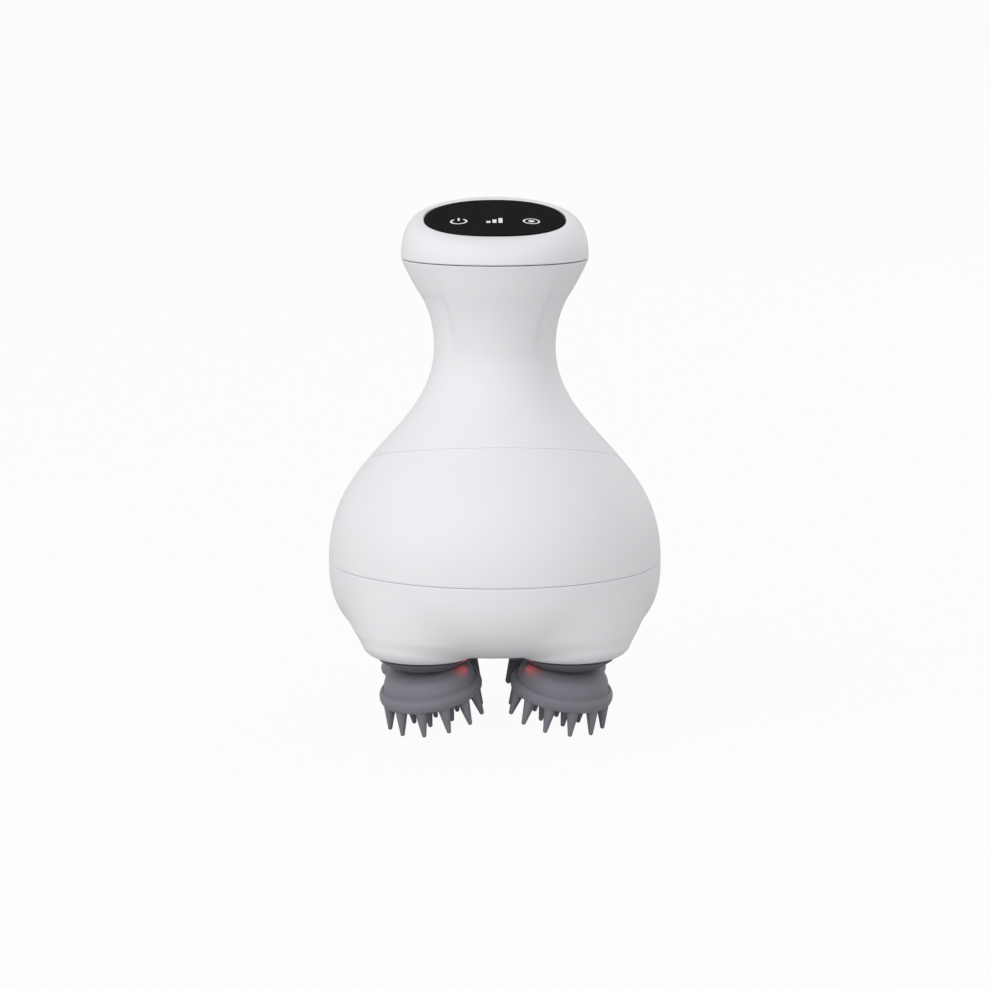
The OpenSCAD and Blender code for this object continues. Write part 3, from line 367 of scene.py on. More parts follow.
# %% Handle shell
handle_top = np.full(AROUND, CAP_SEAM_Z - SEAM_GAP / 2)
handle_z, handle_inset = wall_section(
    slant_height(turn, SLANT_GAP / 2), handle_top, HANDLE_ROWS, SLANT_EDGE, SEAM_EDGE
)
handle = new_object("handle_skin", [rows_to_faces(housing_rows(turn, handle_z, handle_inset), True)])

PORT_Z = SEAM_Z + NECK_H
FLAP_W, FLAP_H, FLAP_T = 12.6, 7.6, 1.3
POCKET_GAP, HINGE_ROUND_R = 0.3, 1.05
SOCKET_W, SOCKET_H, SLOT_GAP = 8.94, 3.26, 0.5
PORT_FLOOR_Y = NECK_D / 2 - 0.1 - FLAP_T - 0.1
HINGE_X, HINGE_Y = -FLAP_W / 2 - 0.5, PORT_FLOOR_Y + 0.75


def round_plug(centre, radius, low, high, around=64):
    """An upright cylinder about a centre."""
    points, faces = lathe([(radius, low), (radius, high)], around)
    return points + np.array([centre[0], centre[1], 0]), faces


def pocket_outline():
    """Outline of the flap's pocket seen from above: a box with the hinge's round at its left."""
    right, outside_y = FLAP_W / 2 + POCKET_GAP, NECK_D / 2 + 4
    bend = np.radians(np.linspace(100, 260, 17))
    left = np.column_stack([HINGE_X + HINGE_ROUND_R * np.cos(bend), HINGE_Y + HINGE_ROUND_R * np.sin(bend)])
    left[:, 1] = np.maximum(left[:, 1], PORT_FLOOR_Y)
    corners = [[right, PORT_FLOOR_Y], [right, outside_y], [HINGE_X - 0.3, outside_y]]
    return np.concatenate([corners, left])


def slot_outline(width, height, around=32):
    """A stadium in X and Z: two half circles joined by straight sides."""
    bend = angles_round(around)
    side = np.where(np.cos(bend) >= 0, 1, -1) * (width - height) / 2
    return np.column_stack([side + height / 2 * np.cos(bend), height / 2 * np.sin(bend)])


pocket = pocket_outline()
half_pocket = FLAP_H / 2 + POCKET_GAP
pocket_rows = np.stack(
    [np.column_stack([pocket, np.full(len(pocket), PORT_Z + side * half_pocket)]) for side in (-1, 1)]
)
slot = slot_outline(SOCKET_W + SLOT_GAP, SOCKET_H + SLOT_GAP)
slot_rows = np.stack(
    [
        np.column_stack([slot[:, 0], np.full(len(slot), y), PORT_Z + slot[:, 1]])
        for y in (PORT_FLOOR_Y + 0.5, PORT_FLOOR_Y - 6)
    ]
)
cut(handle, [rows_to_faces(pocket_rows, False)])
cut(handle, [rows_to_faces(slot_rows, False)])

# %% [markdown]
# ## Base
#
# The base is a bowl whose round is squarer than an ellipse, and four round bosses swell out of
# it. On the real part the bosses run into the bowl in soft valleys. To get those, each is given
# as a field that is negative inside and positive outside, the two fields are joined with a
# smooth minimum, and rays are sent out from the middle of the seam to where the joined field
# is zero. That finds the surface for any direction, all in whole arrays.

# %% Field of the base
UNDERSIDE_R, FULLNESS = 20.5, 2.6
BOSS_R, BOSS_FACE_R, BOSS_ROUND_H = 18.4, 13.0, 4.8
BOSS_FULLNESS, BOSS_NARROWS, BOSS_NARROWS_OVER = 1.9, 3.1, 12.6
BOWL_LOW, BOWL_SCALE = BOSS_Z + 0.3, 27
VALLEY_REACH, VALLEY_FROM, VALLEY_TO = 8, -0.5, 8
RAY_FROM, RAY_TO, RAY_STEPS, RAY_HALVINGS = 62, 12, 101, 18


def bowl_field(r, z):
    """A rounded bowl: across and down shares raised to the fullness add up to 1 on its skin."""
    across = np.maximum(r - UNDERSIDE_R, 0) / (BODY_W / 2 - UNDERSIDE_R)
    down = np.maximum(SEAM_Z - z, 0) / (SEAM_Z - BOWL_LOW)
    return ((across**FULLNESS + down**FULLNESS) ** (1 / FULLNESS) - 1) * BOWL_SCALE


def boss_field(r, z):
    """A round foot. Its lower edge is rounded like the bowl, and above that it is a distance from
    a wall that draws in by the square of the height."""
    high = np.maximum(z - BOSS_Z - BOSS_ROUND_H, 0)
    wide = BOSS_R - BOSS_NARROWS * (high / BOSS_NARROWS_OVER) ** 2
    across = np.maximum(r - BOSS_FACE_R, 0) / np.maximum(wide - BOSS_FACE_R, 0.4)
    down = np.maximum(BOSS_Z + BOSS_ROUND_H - z, 0) / BOSS_ROUND_H
    share = (across**BOSS_FULLNESS + down**BOSS_FULLNESS) ** (1 / BOSS_FULLNESS)
    return np.where(high > 0, r - wide, (share - 1) * (BOSS_R - BOSS_FACE_R))


def soft_min(a, b, reach):
    """The smaller of two fields, with the corner between them filled within a reach."""
    near = np.maximum(reach - np.abs(a - b), 0) / np.maximum(reach, 1e-6)
    return np.minimum(a, b) - near * near * reach / 4


def base_field(x, y, z):
    """Bowl and bosses joined. The valley's reach grows slowly from the flat underside up."""
    joined_field = bowl_field(np.hypot(x, y), z)
    reach = VALLEY_REACH * ramp(VALLEY_FROM, VALLEY_TO, z - BOSS_Z)
    nearest = np.full_like(x, 1e3)
    for angle in HEADS.values():
        cx, cy = HEAD_R * math.cos(math.radians(angle)), HEAD_R * math.sin(math.radians(angle))
        nearest = np.minimum(nearest, np.hypot(x - cx, y - cy))
    return soft_min(joined_field, boss_field(nearest, z), reach)


def base_rows(angle, dips):
    """Where rays from the middle of the seam leave the base, for each dip below the horizon. Each
    ray is walked inwards to its first point inside, and that step is then halved again and again."""
    dx = np.cos(dips)[:, None] * np.cos(angle)
    dy = np.cos(dips)[:, None] * np.sin(angle)
    dz = -np.sin(dips)[:, None] * np.ones_like(angle)
    walk = np.linspace(RAY_FROM, RAY_TO, RAY_STEPS)
    last_out = np.full(dx.shape, walk[0])
    found = np.zeros(dx.shape, dtype=bool)
    for far in walk[1:]:
        inside = base_field(far * dx, far * dy, SEAM_Z + far * dz) < 0
        last_out = np.where(found | inside, last_out, far)
        found |= inside
    high, low = last_out, last_out - (RAY_FROM - RAY_TO) / (RAY_STEPS - 1)
    for _ in range(RAY_HALVINGS):
        middle = (high + low) / 2
        inside = base_field(middle * dx, middle * dy, SEAM_Z + middle * dz) < 0
        low, high = np.where(inside, middle, low), np.where(inside, high, middle)
    return np.stack([high * dx, high * dy, SEAM_Z + high * dz], -1)


# %% Base shell
BASE_AROUND, BASE_ROWS = 360, 170
turn = angles_round(BASE_AROUND)
dips = np.radians(90 - np.linspace(1.2, 90 - math.degrees(SEAM_EDGE / (BODY_W / 2)), BASE_ROWS))
outside = base_rows(turn, dips)
edge_turn = np.radians([22.5, 45, 67.5, 90])
edge_r = BODY_W / 2 - SEAM_EDGE * (1 - np.cos(edge_turn))
edge_z = SEAM_Z - SEAM_EDGE * (1 - np.sin(edge_turn))
inner_turn = np.radians(np.linspace(90, 0, 25))
power = 2 / FULLNESS
inner_low = BOWL_LOW + WALL
inner_wide = BODY_W / 2 - WALL
inner_r = UNDERSIDE_R + (inner_wide - UNDERSIDE_R) * np.sin(inner_turn) ** power
inner_z = inner_low + (SEAM_Z - inner_low) * (1 - np.cos(inner_turn) ** power)
ring_r = np.concatenate([edge_r, inner_r, [10, 1]])
ring_z = np.concatenate([edge_z, inner_z, [inner_low, inner_low]])
ring_x, ring_y = ring_r[:, None] * np.cos(turn), ring_r[:, None] * np.sin(turn)
rest = np.stack([ring_x, ring_y, np.repeat(ring_z[:, None], BASE_AROUND, 1)], -1)
base = new_object("base_skin", [rows_to_faces(np.concatenate([outside, rest]), False)])

SCREW_RING_R, LENS_RING_R = 39.0, 11.0
SHAFT_HOLE_R, LENS_HOLE_R, SCREW_HOLE_R = 4.72, 2.52, 3.1
base_holes = []
for angle in HEADS.values():
    out = np.array([math.cos(math.radians(angle)), math.sin(math.radians(angle))])
    base_holes.append(round_plug(out * HEAD_R, SHAFT_HOLE_R, BOSS_Z - 2, BOSS_Z + 9))
    base_holes.append(round_plug(out * LENS_RING_R, LENS_HOLE_R, BOSS_Z - 2, BOSS_Z + 9, 48))
for angle in (0, 90, 180):
    out = np.array([math.cos(math.radians(angle)), math.sin(math.radians(angle))])
    base_holes.append(round_plug(out * SCREW_RING_R, SCREW_HOLE_R, BOSS_Z - 4, BOSS_Z + 18, 48))
cut(base, base_holes)

# %% [markdown]
# ## Cap
#
# The cap rounds over from the seam to a plateau that slopes to the front. Its round is a
# squarish ellipse in section, and every row is an ellipse in plan. The opening for the key goes
# down into the plateau, to the floor that carries the key. Its outline is fuller than an
# ellipse: the share across and the share along, each raised to 2.4, add up to 1.

# %% Cap shell
PLATEAU, CAP_POWER, PANEL_POWER = 0.78, 2 / 2.4, 2 / 2.4
PANEL_A, PANEL_B, PANEL_T, PANEL_GAP = 21.0, 17.0, 1.6, 0.25
CAP_FLOOR = -PANEL_T - 0.7 - 0.2
CAP_FLOOR_T, CAP_EDGE, HOLE_EDGE = 1.4, 0.35, 0.3
PLUG_DROP, PLUG_WALL, PLUG_GAP, CAP_SIDE_H = 2.4, 1.3, 0.3, 0.9
cap_foot = CAP_SEAM_Z + SEAM_GAP / 2
CAP_TOP = model_box[1][2] / MM - 0.005


def full_oval(a, b, angle):
    """Points of the key's outline: the cosine and sine of the angle, each with its sign kept,
    are raised to a power below 1, which fills out the corners."""
    c, s = np.cos(angle), np.sin(angle)
    return a * np.sign(c) * np.abs(c) ** PANEL_POWER, b * np.sign(s) * np.abs(s) ** PANEL_POWER


def slope_point(a, b, w, angle):
    """Points of a full oval on the sloping top face, at a height w along the face's normal."""
    x, y = full_oval(a, b, angle)
    flat = np.stack([x, y, np.full_like(x, w)], -1)
    return turned_x(flat, PANEL_TILT) + np.array([0, 0, PANEL_Z])


def cap_skin(angle, t):
    """Skin of the cap: the rise and the share of the width follow a squarish quarter round, and
    it is never higher than the model's own top."""
    rise = np.sin(t) ** CAP_POWER
    s = PLATEAU + (1 - PLATEAU) * np.cos(t) ** CAP_POWER
    x = s * CAP_W / 2 * np.cos(angle)
    y = s * CAP_D / 2 * np.sin(angle)
    z = cap_foot + rise * (PANEL_Z + y * math.tan(PANEL_TILT) - cap_foot)
    return np.stack([x, y, np.minimum(z, CAP_TOP)], -1)


def flat_ring(a, b, z, angle):
    """An oval at one height."""
    return np.stack([a * np.cos(angle), b * np.sin(angle), np.full_like(angle, z)], -1)


turn = angles_round(AROUND)
plug_z = CAP_SEAM_Z - 2.6
plug_a = float(housing_radius(np.array(plug_z))) - WALL - PLUG_GAP
plug_b = float(housing_radius(np.array(plug_z)) * depth_share(plug_z)) - WALL - PLUG_GAP
inside_a, inside_b = plug_a - PLUG_WALL, plug_b - PLUG_WALL
under_floor = CAP_FLOOR - CAP_FLOOR_T
rows = [slope_point(a, b, under_floor, turn) for a, b in ((1.0, 1.0), (inside_a - 1, inside_b - 2))]
rows += [flat_ring(a, b, CAP_SEAM_Z - PLUG_DROP, turn) for a, b in ((inside_a, inside_b), (plug_a, plug_b))]
rows += [flat_ring(plug_a, plug_b, cap_foot, turn)]
for bend in np.radians([0, 30, 60, 90]):
    inset, rise = CAP_EDGE * (1 - math.sin(bend)), CAP_EDGE * (1 - math.cos(bend))
    rows.append(flat_ring(CAP_W / 2 - inset, CAP_D / 2 - inset, cap_foot + rise, turn))
start_t = math.asin((CAP_SIDE_H / CAP_H) ** (1 / CAP_POWER))
rows += [cap_skin(turn, t) for t in np.linspace(start_t, np.pi / 2, 56)]
hole_a, hole_b = PANEL_A + PANEL_GAP, PANEL_B + PANEL_GAP
rows.append(slope_point(hole_a + 0.35, hole_b + 0.35, 0, turn))
for bend in np.radians([30, 60, 90]):
    wider, depth = HOLE_EDGE * (1 - math.sin(bend)), HOLE_EDGE * (1 - math.cos(bend))
    rows.append(slope_point(hole_a + wider, hole_b + wider, -depth, turn))
rows += [slope_point(hole_a, hole_b, CAP_FLOOR, turn), slope_point(1.0, 1.0, CAP_FLOOR, turn)]
cap = new_object("cap_skin", [rows_to_faces(np.stack(rows), False)])


def on_slope(part):
    """A part described on the level, laid on the sloping top face."""
    return turned_x(part[0], PANEL_TILT) + np.array([0, 0, PANEL_Z]), part[1]


GUIDE_X = 13.0
floor_holes = ((-GUIDE_X, 1.31), (0, 2.4), (GUIDE_X, 1.31))
cut(cap, [on_slope(round_plug((x, 0), r, -6, CAP_FLOOR + 1, 32)) for x, r in floor_holes])

# %% [markdown]
# ## Key
#
# The key is one glossy black oval, crowned from side to side, with a fine rounded edge. Two
# guide pins and a stem under it go through the cap's floor. Its top is made of rings of the same
# outline, so that the crown and the rounded edge come from one list of rows.

# %% Key
CROWN_R, CROWN_H, KEY_EDGE = 240.0, 0.5, 0.35


def crown(x):
    """Height of the crowned face: the top of a large round about the front-back direction."""
    return CROWN_H - CROWN_R + np.sqrt(CROWN_R**2 - x**2)


def key_ring(a, b, drop, angle):
    """A full oval on the key's face, a given drop below the crown."""
    x, y = full_oval(a, b, angle)
    return np.stack([x, y, crown(x) - drop], -1)


key_x, key_y = full_oval(PANEL_A, PANEL_B, turn)
rows = [np.stack([s * key_x, s * key_y, np.full_like(turn, -PANEL_T)], -1) for s in (0.05, 1)]
for bend in np.radians([0, 22.5, 45, 67.5, 90]):
    inset, drop = KEY_EDGE * (1 - math.cos(bend)), KEY_EDGE * (1 - math.sin(bend))
    rows.append(key_ring(PANEL_A - inset, PANEL_B - inset, drop, turn))
for s in np.linspace(0.97, 0.03, 24):
    rows.append(key_ring(PANEL_A * s, PANEL_B * s, 0, turn))
pin_sizes = ((-GUIDE_X, 1.25, -5.5), (0, 1.8, -3.1), (GUIDE_X, 1.25, -5.5))
pins = [round_plug((x, 0), r, low, -PANEL_T + 0.4, 32) for x, r, low in pin_sizes]
key = new_object("key_plate", [on_slope(p) for p in [rows_to_faces(np.stack(rows), False)] + pins])

# %% [markdown]
# ### Marks
#
# The real key has a word and small pictures printed on it. Those are left off, and three plain
# marks take their place: a ring with a bar, as on any switch, three rising bars and a dot in a
# ring. Each is a flat band between two lines of points. A texture could carry them as well, but
# a band has crisp edges at any distance.

# %% Marks on the key
PRINT_H = 0.03


def band_between(inner, outer, closed):
    """A thin printed band between two lines of points on the key, a hair above its face."""
    count = len(inner)
    line = np.concatenate([inner, outer])
    i = np.arange(count if closed else count - 1)
    j = (i + 1) % count
    faces = np.column_stack([i, j, count + j, count + i]).tolist()
    return np.column_stack([line, crown(line[:, 0]) + PRINT_H]), faces


def arc_band(centre, radius, width, start, end, steps=40):
    """Part of a ring: two arcs about one centre."""
    bend = np.radians(np.linspace(start, end, steps))
    around = np.column_stack([np.cos(bend), np.sin(bend)])
    near, far = radius - width / 2, radius + width / 2
    return band_between(np.array(centre) + around * near, np.array(centre) + around * far, False)


def bar_band(low, high):
    """A small upright bar with square ends."""
    left = np.column_stack([np.full(5, low[0]), np.linspace(low[1], high[1], 5)])
    right = np.column_stack([np.full(5, high[0]), np.linspace(low[1], high[1], 5)])
    return band_between(left, right, False)


def dot_band(centre, radius):
    """A small round dot."""
    bend = angles_round(32)
    around = np.column_stack([np.cos(bend), np.sin(bend)])
    return band_between(np.array(centre) + around * radius * 0.02, np.array(centre) + around * radius, True)


MARK_Y, MARK_X, MARK_R = -3.8, 10.8, 2.3
marks = [arc_band((-MARK_X, MARK_Y), MARK_R, 0.6, 125, 415)]
marks += [bar_band((-MARK_X - 0.3, MARK_Y + 0.5), (-MARK_X + 0.3, MARK_Y + 3.1))]
for step, left in enumerate((-2.6, -0.8, 1.0)):
    marks.append(bar_band((left, MARK_Y - 2.2), (left + 1.2, MARK_Y - 0.4 + 1.4 * step)))
marks += [dot_band((MARK_X, MARK_Y), 0.95), arc_band((MARK_X, MARK_Y), MARK_R, 0.55, 0, 360)]
print_marks = new_object("key_marks", [on_slope(m) for m in marks])

# %% [markdown]
# ## Claws
#
# Each claw is one soft moulding: a dome that swells out from under the collar, a fine groove, a
# rolled band below it and nineteen blunt teeth under the disc. The dome is a smooth line turned
# on the claw's own axis, and it stays clear of the collar. Its top has a bore for the collar's
# cone. A tooth is a small lathe shape too, wider where it leaves the disc. Twelve copies lean
# outwards in an outer ring, six stand in an inner ring and one in the middle. The claw is then
# tilted under its head.

# %% Shape of a claw
CONE_R, SPIGOT_R, SPIGOT_L = 6.8, 4.0, 4.6
COLLAR_R, COLLAR_LOW_R = 13.5, 10.2
NECK_TOP = PIVOT_RISE / math.cos(CLAW_TILT) + COLLAR_H + 2.9
UNDER_COLLAR = -PIVOT_RISE - COLLAR_GAP - COLLAR_H - 0.1
rim_top, rim_low = -RIM_DROP, -RIM_DROP - RIM_H
dome = eased(
    [
        (CLAW_R - 0.75, rim_low), (CLAW_R - 0.3, rim_low + 0.4), (CLAW_R - 0.06, rim_low + 1.2),
        (CLAW_R, rim_low + 1.9), (CLAW_R - 0.12, rim_top - 1.1), (CLAW_R - 0.42, rim_top - 0.5),
        (CLAW_R - 0.8, rim_top - 0.12), (CLAW_R - 1.15, rim_top), (CLAW_R - 1.5, rim_top - 0.1),
        (CLAW_R - 1.75, rim_top + 0.25), (CLAW_R - 1.9, rim_top + 1.6), (CLAW_R - 2.45, rim_top + 3.0),
        (CLAW_R - 3.3, rim_top + 4.2), (CLAW_R - 4.6, rim_top + 5.0), (CLAW_R - 6.1, rim_top + 5.5),
        (CONE_R + 0.6, rim_top + 5.7),
    ]
)
disc_profile = np.concatenate(
    [
        [(0.2, rim_low), (6, rim_low), (CLAW_R - 1.6, rim_low)], dome, [(CONE_R + 0.02, rim_top + 5.7)],
        [(CONE_R + 0.02, -NECK_TOP - 0.15), (SPIGOT_R + 0.02, -NECK_TOP - 0.15)],
        [(SPIGOT_R + 0.02, -NECK_TOP - SPIGOT_L - 0.1), (0.2, -NECK_TOP - SPIGOT_L - 0.1)],
    ]
)


def kept_below(part, height):
    """Moves points of a part on the claw's axis down that axis until, once the claw is tilted,
    they are below a surface given as a height for each distance from the head's axis."""
    points, faces = part
    x, y, z = points.T
    c, s = math.cos(CLAW_TILT), math.sin(CLAW_TILT)
    limit = (height(np.hypot(x * c + z * s, y)) + x * s) / c
    return np.column_stack([x, y, np.minimum(z, limit)]), faces


def collar_underside(distance):
    """Level under the collar, then rising beside its conical rim."""
    slope = (COLLAR_H - 0.5) / (COLLAR_R - COLLAR_LOW_R)
    return UNDER_COLLAR + np.clip((distance - COLLAR_LOW_R - 0.1) * slope, 0, COLLAR_H - 0.2)


tip_bend = np.radians(np.linspace(-88, 8, 9))
tooth_profile = np.concatenate(
    [
        np.column_stack([TIP_R * np.cos(tip_bend), -TOOTH_L + TIP_R * np.sin(tip_bend)]),
        eased(
            [(0.79, -TOOTH_L + 0.7), (1.1, -4.6), (1.48, -2.4), (1.78, -0.7), (2.05, 0.05), (2.3, 0.5)], 4
        ),
        [(2.3, 1.2), (0.1, 1.2)],
    ]
)


def tooth(ring_r, at, splay):
    """One tooth: its lathe shape leaned outwards, moved out to its ring and round it."""
    points, faces = lathe(tooth_profile, 24)
    points = turned_y(points, -splay) + np.array([ring_r, 0, rim_low])
    return turned_z(points, math.radians(at)), faces


def under_head(part, angle):
    """A part on the claw's own axis, tilted and moved under the head at an angle."""
    points = turned_y(part[0], CLAW_TILT) + np.array([HEAD_R, 0, PIVOT_Z])
    return turned_z(points, math.radians(angle)), part[1]


claw_parts = [kept_below(lathe(disc_profile, 180), collar_underside)]
claw_parts += [tooth(OUTER_RING_R, i * 360 / OUTER_TEETH, TOOTH_SPLAY) for i in range(OUTER_TEETH)]
claw_parts += [tooth(INNER_RING_R, (i + 0.5) * 360 / INNER_TEETH, 0) for i in range(INNER_TEETH)]
claw_parts += [tooth(0, 0, 0)]
claws = {}
for name, angle in HEADS.items():
    claws[name] = new_object("claw_skin_" + name, [under_head(part, angle) for part in claw_parts])

# %% [markdown]
# ## Collars
#
# A dark ring with a conical rim sits under each boss and turns with the claw. The ring is a
# lathe shape on the head's upright axis. The round neck and the spigot that carry the claw are
# turned on the claw's tilted axis, and the neck's top is kept inside the ring.

# %% Collars
NECK_INSIDE = 1.4


def neck_top(distance):
    """The neck ends at one height, inside the ring."""
    return np.full_like(distance, UNDER_COLLAR + NECK_INSIDE)


collar_top = BOSS_Z - COLLAR_GAP
collar_low = collar_top - COLLAR_H
collar_profile = [
    (3.2, collar_low + 0.1), (COLLAR_LOW_R - 0.5, collar_low), (COLLAR_LOW_R - 0.12, collar_low + 0.08),
    (COLLAR_LOW_R + 0.06, collar_low + 0.25), (COLLAR_R - 0.5, collar_top - 0.7),
    (COLLAR_R - 0.32, collar_top - 0.45), (COLLAR_R - 0.36, collar_top - 0.2),
    (COLLAR_R - 0.6, collar_top - 0.03), (COLLAR_R - 0.9, collar_top), (2.6, collar_top),
]
neck_profile = [
    (0.2, -NECK_TOP - SPIGOT_L), (SPIGOT_R, -NECK_TOP - SPIGOT_L), (SPIGOT_R, -NECK_TOP),
    (CONE_R, -NECK_TOP), (CONE_R, -2.6), (0.2, -2.6),
]
ring_points, ring_faces = lathe(collar_profile, 128)
ring_points = ring_points + np.array([HEAD_R, 0, 0])
neck = kept_below(lathe(neck_profile, 96), neck_top)
collars = {}
for name, angle in HEADS.items():
    ring = (turned_z(ring_points, math.radians(angle)), ring_faces)
    collars[name] = new_object("collar_skin_" + name, [ring, under_head(neck, angle)])

# %% [markdown]
# ## What rides on what
#
# Every new piece names the body that it moves with, so the same script is right at every pose.
# The solid that it stands for is hidden. Only the printed marks stand for none.

# %% Riding and replacing
for piece, node, body, finish_slot in (
    (belly, "belly_shell", "housing", "white_housing"),
    (handle, "handle_shell", "housing", "white_housing"),
    (base, "base_shell", "housing", "white_housing"),
    (cap, "top_cap", "housing", "white_housing"),
    (key, "control_panel", "key", "black_panel"),
):
    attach(piece, body)
    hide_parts(node)
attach(print_marks, "key")
for name in HEADS:
    for piece, node, finish_slot in (
        (claws[name], "claw_" + name, "grey_silicone"),
        (collars[name], "collar_" + name, "dark_grey_plastic"),
    ):
        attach(piece, "head_" + name)
        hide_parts(node)
print("pieces ride on their bodies")

# %% [markdown]
# ## Finishes
#
# A finish is a small network of nodes. It reads like arithmetic here: a value from one node can
# be added to or scaled, and each sign adds one Math node. Patterns come from the object's own
# coordinates in metres, so they stay on the surface as it moves.

# %% Node arithmetic
class Wire:
    """A socket that carries one number. Arithmetic on it adds Math nodes."""

    def __init__(self, finish, socket):
        self.finish, self.socket = finish, socket

    def join(self, operation, first, second):
        """One Math node with two values, either of which may be a wire or a number."""
        return self.finish.node("ShaderNodeMath", {"operation": operation}, {0: first, 1: second})

    def __add__(self, other):
        return self.join("ADD", self, other)

    def __radd__(self, other):
        return self.join("ADD", other, self)

    def __sub__(self, other):
        return self.join("SUBTRACT", self, other)

    def __rsub__(self, other):
        return self.join("SUBTRACT", other, self)

    def __mul__(self, other):
        return self.join("MULTIPLY", self, other)

    def __rmul__(self, other):
        return self.join("MULTIPLY", other, self)


class Finish:
    """A material with one plain shader, and methods that add what varies over the surface."""

    def __init__(self, name, **sockets):
        self.material = bpy.data.materials.new(name)
        self.material.use_nodes = True
        self.tree = self.material.node_tree
        self.shader = next(n for n in self.tree.nodes if n.type == "BSDF_PRINCIPLED")
        for socket, value in sockets.items():
            self.shader.inputs[socket.replace("_", " ")].default_value = value
        self.place = self.node("ShaderNodeTexCoord", {}, {}, "Object")

    def node(self, kind, settings, values, output=0):
        """Adds a node, applies its settings, then gives its sockets their values or links."""
        made = self.tree.nodes.new(kind)
        for setting, value in settings.items():
            setattr(made, setting, value)
        for socket, value in values.items():
            if isinstance(value, Wire):
                self.tree.links.new(value.socket, made.inputs[socket])
            else:
                made.inputs[socket].default_value = value
        return Wire(self, made.outputs[output])

    def noise(self, size_mm, detail=2.0, roughness=0.5):
        """Soft random blotches of about the given size, from 0 to 1."""
        values = {"Vector": self.place, "Scale": 1 / (size_mm * MM)}
        values |= {"Detail": detail, "Roughness": roughness}
        return self.node("ShaderNodeTexNoise", {}, values, "Fac")

    def mix(self, factor, first, second):
        """A colour between two, by a factor from 0 to 1."""
        return self.node("ShaderNodeMix", {"data_type": "RGBA"}, {0: factor, 6: first, 7: second}, 2)

    def feed(self, socket, wire):
        """Lets a wire drive one of the shader's sockets."""
        self.tree.links.new(wire.socket, self.shader.inputs[socket])

    def bump(self, height, depth_mm, strength=1.0):
        """Fine relief of a given depth from a height between 0 and 1."""
        values = {"Height": height, "Distance": depth_mm * MM, "Strength": strength}
        self.feed("Normal", self.node("ShaderNodeBump", {}, values, "Normal"))


def rgb(r, g, b):
    """A colour as its four numbers."""
    return (r, g, b, 1.0)


# %% [markdown]
# ### Plastics
#
# The housing is satin white with a very fine spark-eroded grain and hardly any change of
# colour. The key is black with a thin clear coat and almost no grain. The other plastics differ
# in colour and polish, and each has the grain and the slow blotches of a moulding.

# %% Plastics
def moulded(name, low, high, rough, grain_mm=0.25, grain_depth=0.006, **sockets):
    """Moulded plastic: two close colours in slow blotches, a fine grain, and a roughness that
    wanders a little with the blotches."""
    made = Finish(name, **sockets)
    blotch = made.noise(22, 3)
    made.feed("Base Color", made.mix(blotch, rgb(*low), rgb(*high)))
    made.feed("Roughness", rough + (made.noise(9, 2) - 0.5) * 0.08)
    made.bump(made.noise(grain_mm, 2, 0.6), grain_depth)
    return made.material


white_housing = moulded(
    "white_housing", (0.80, 0.80, 0.817), (0.825, 0.825, 0.84), 0.5, Specular_IOR_Level=0.22
)
black_panel = moulded(
    "black_panel", (0.0085, 0.0085, 0.009), (0.0105, 0.0105, 0.011), 0.3, 0.6, 0.001,
    Specular_IOR_Level=0.0, Coat_Weight=0.05, Coat_Roughness=0.12,
)
dark_grey_plastic = moulded("dark_grey_plastic", (0.098, 0.098, 0.118), (0.112, 0.112, 0.134), 0.5)
grey_plastic = moulded("grey_plastic", (0.33, 0.33, 0.34), (0.37, 0.37, 0.38), 0.5)
black_plastic = moulded("black_plastic", (0.02, 0.02, 0.02), (0.028, 0.028, 0.028), 0.5)
natural_nylon = moulded("natural_nylon", (0.76, 0.73, 0.63), (0.82, 0.79, 0.7), 0.45, Subsurface_Weight=0.05)
cell_sleeve = moulded("cell_sleeve", (0.05, 0.18, 0.46), (0.07, 0.22, 0.54), 0.28, 1.2, 0.01)
print_white = moulded("print_white", (0.86, 0.86, 0.86), (0.9, 0.9, 0.9), 0.5, 0.4, 0.002)
print("eight plastics, the first is", white_housing.name)

# %% [markdown]
# ### Silicone and rubber
#
# Silicone is matte with a soft bloom at grazing angles. Sheen gives the bloom, and a fine grain
# breaks up the highlights. It picks up a little dust, so slow blotches are slightly lighter and
# rougher.

# %% Silicone and rubber
def soft_rubber(name, low, high, rough, sheen):
    """Matte silicone: two close colours in blotches, a fine grain, and a sheen over all."""
    made = Finish(name, Sheen_Weight=sheen, Sheen_Roughness=0.45, Specular_IOR_Level=0.35)
    bloom = made.noise(6, 3, 0.55)
    made.feed("Base Color", made.mix(bloom, rgb(*low), rgb(*high)))
    made.feed("Roughness", rough + (bloom - 0.5) * 0.12)
    made.bump(made.noise(0.35, 2, 0.6), 0.012)
    return made.material


grey_silicone = soft_rubber("grey_silicone", (0.185, 0.185, 0.212), (0.215, 0.215, 0.245), 0.6, 0.12)
white_silicone = soft_rubber("white_silicone", (0.78, 0.78, 0.79), (0.82, 0.82, 0.83), 0.55, 0.05)
black_rubber = soft_rubber("black_rubber", (0.025, 0.025, 0.025), (0.035, 0.035, 0.035), 0.65, 0.1)
print("three soft finishes, the first is", grey_silicone.name)

# %% [markdown]
# ### Metals, boards and lamps
#
# The metals have fine blotches that change their tint and their polish together, as plating and
# sintering leave them. The boards are green with a faint pattern of cells. The lenses are red
# plastic that glows weakly, and the lamps behind them glow more.

# %% Metals, boards and lamps
def metal(name, low, high, rough, size_mm):
    """Plated or turned metal: blotches of a given size change the tint and the polish."""
    made = Finish(name, Metallic=1.0)
    marks_on = made.noise(size_mm, 4, 0.6)
    made.feed("Base Color", made.mix(marks_on, rgb(*low), rgb(*high)))
    made.feed("Roughness", rough + (marks_on - 0.5) * 0.16)
    made.bump(made.noise(0.15, 2), 0.003)
    return made.material


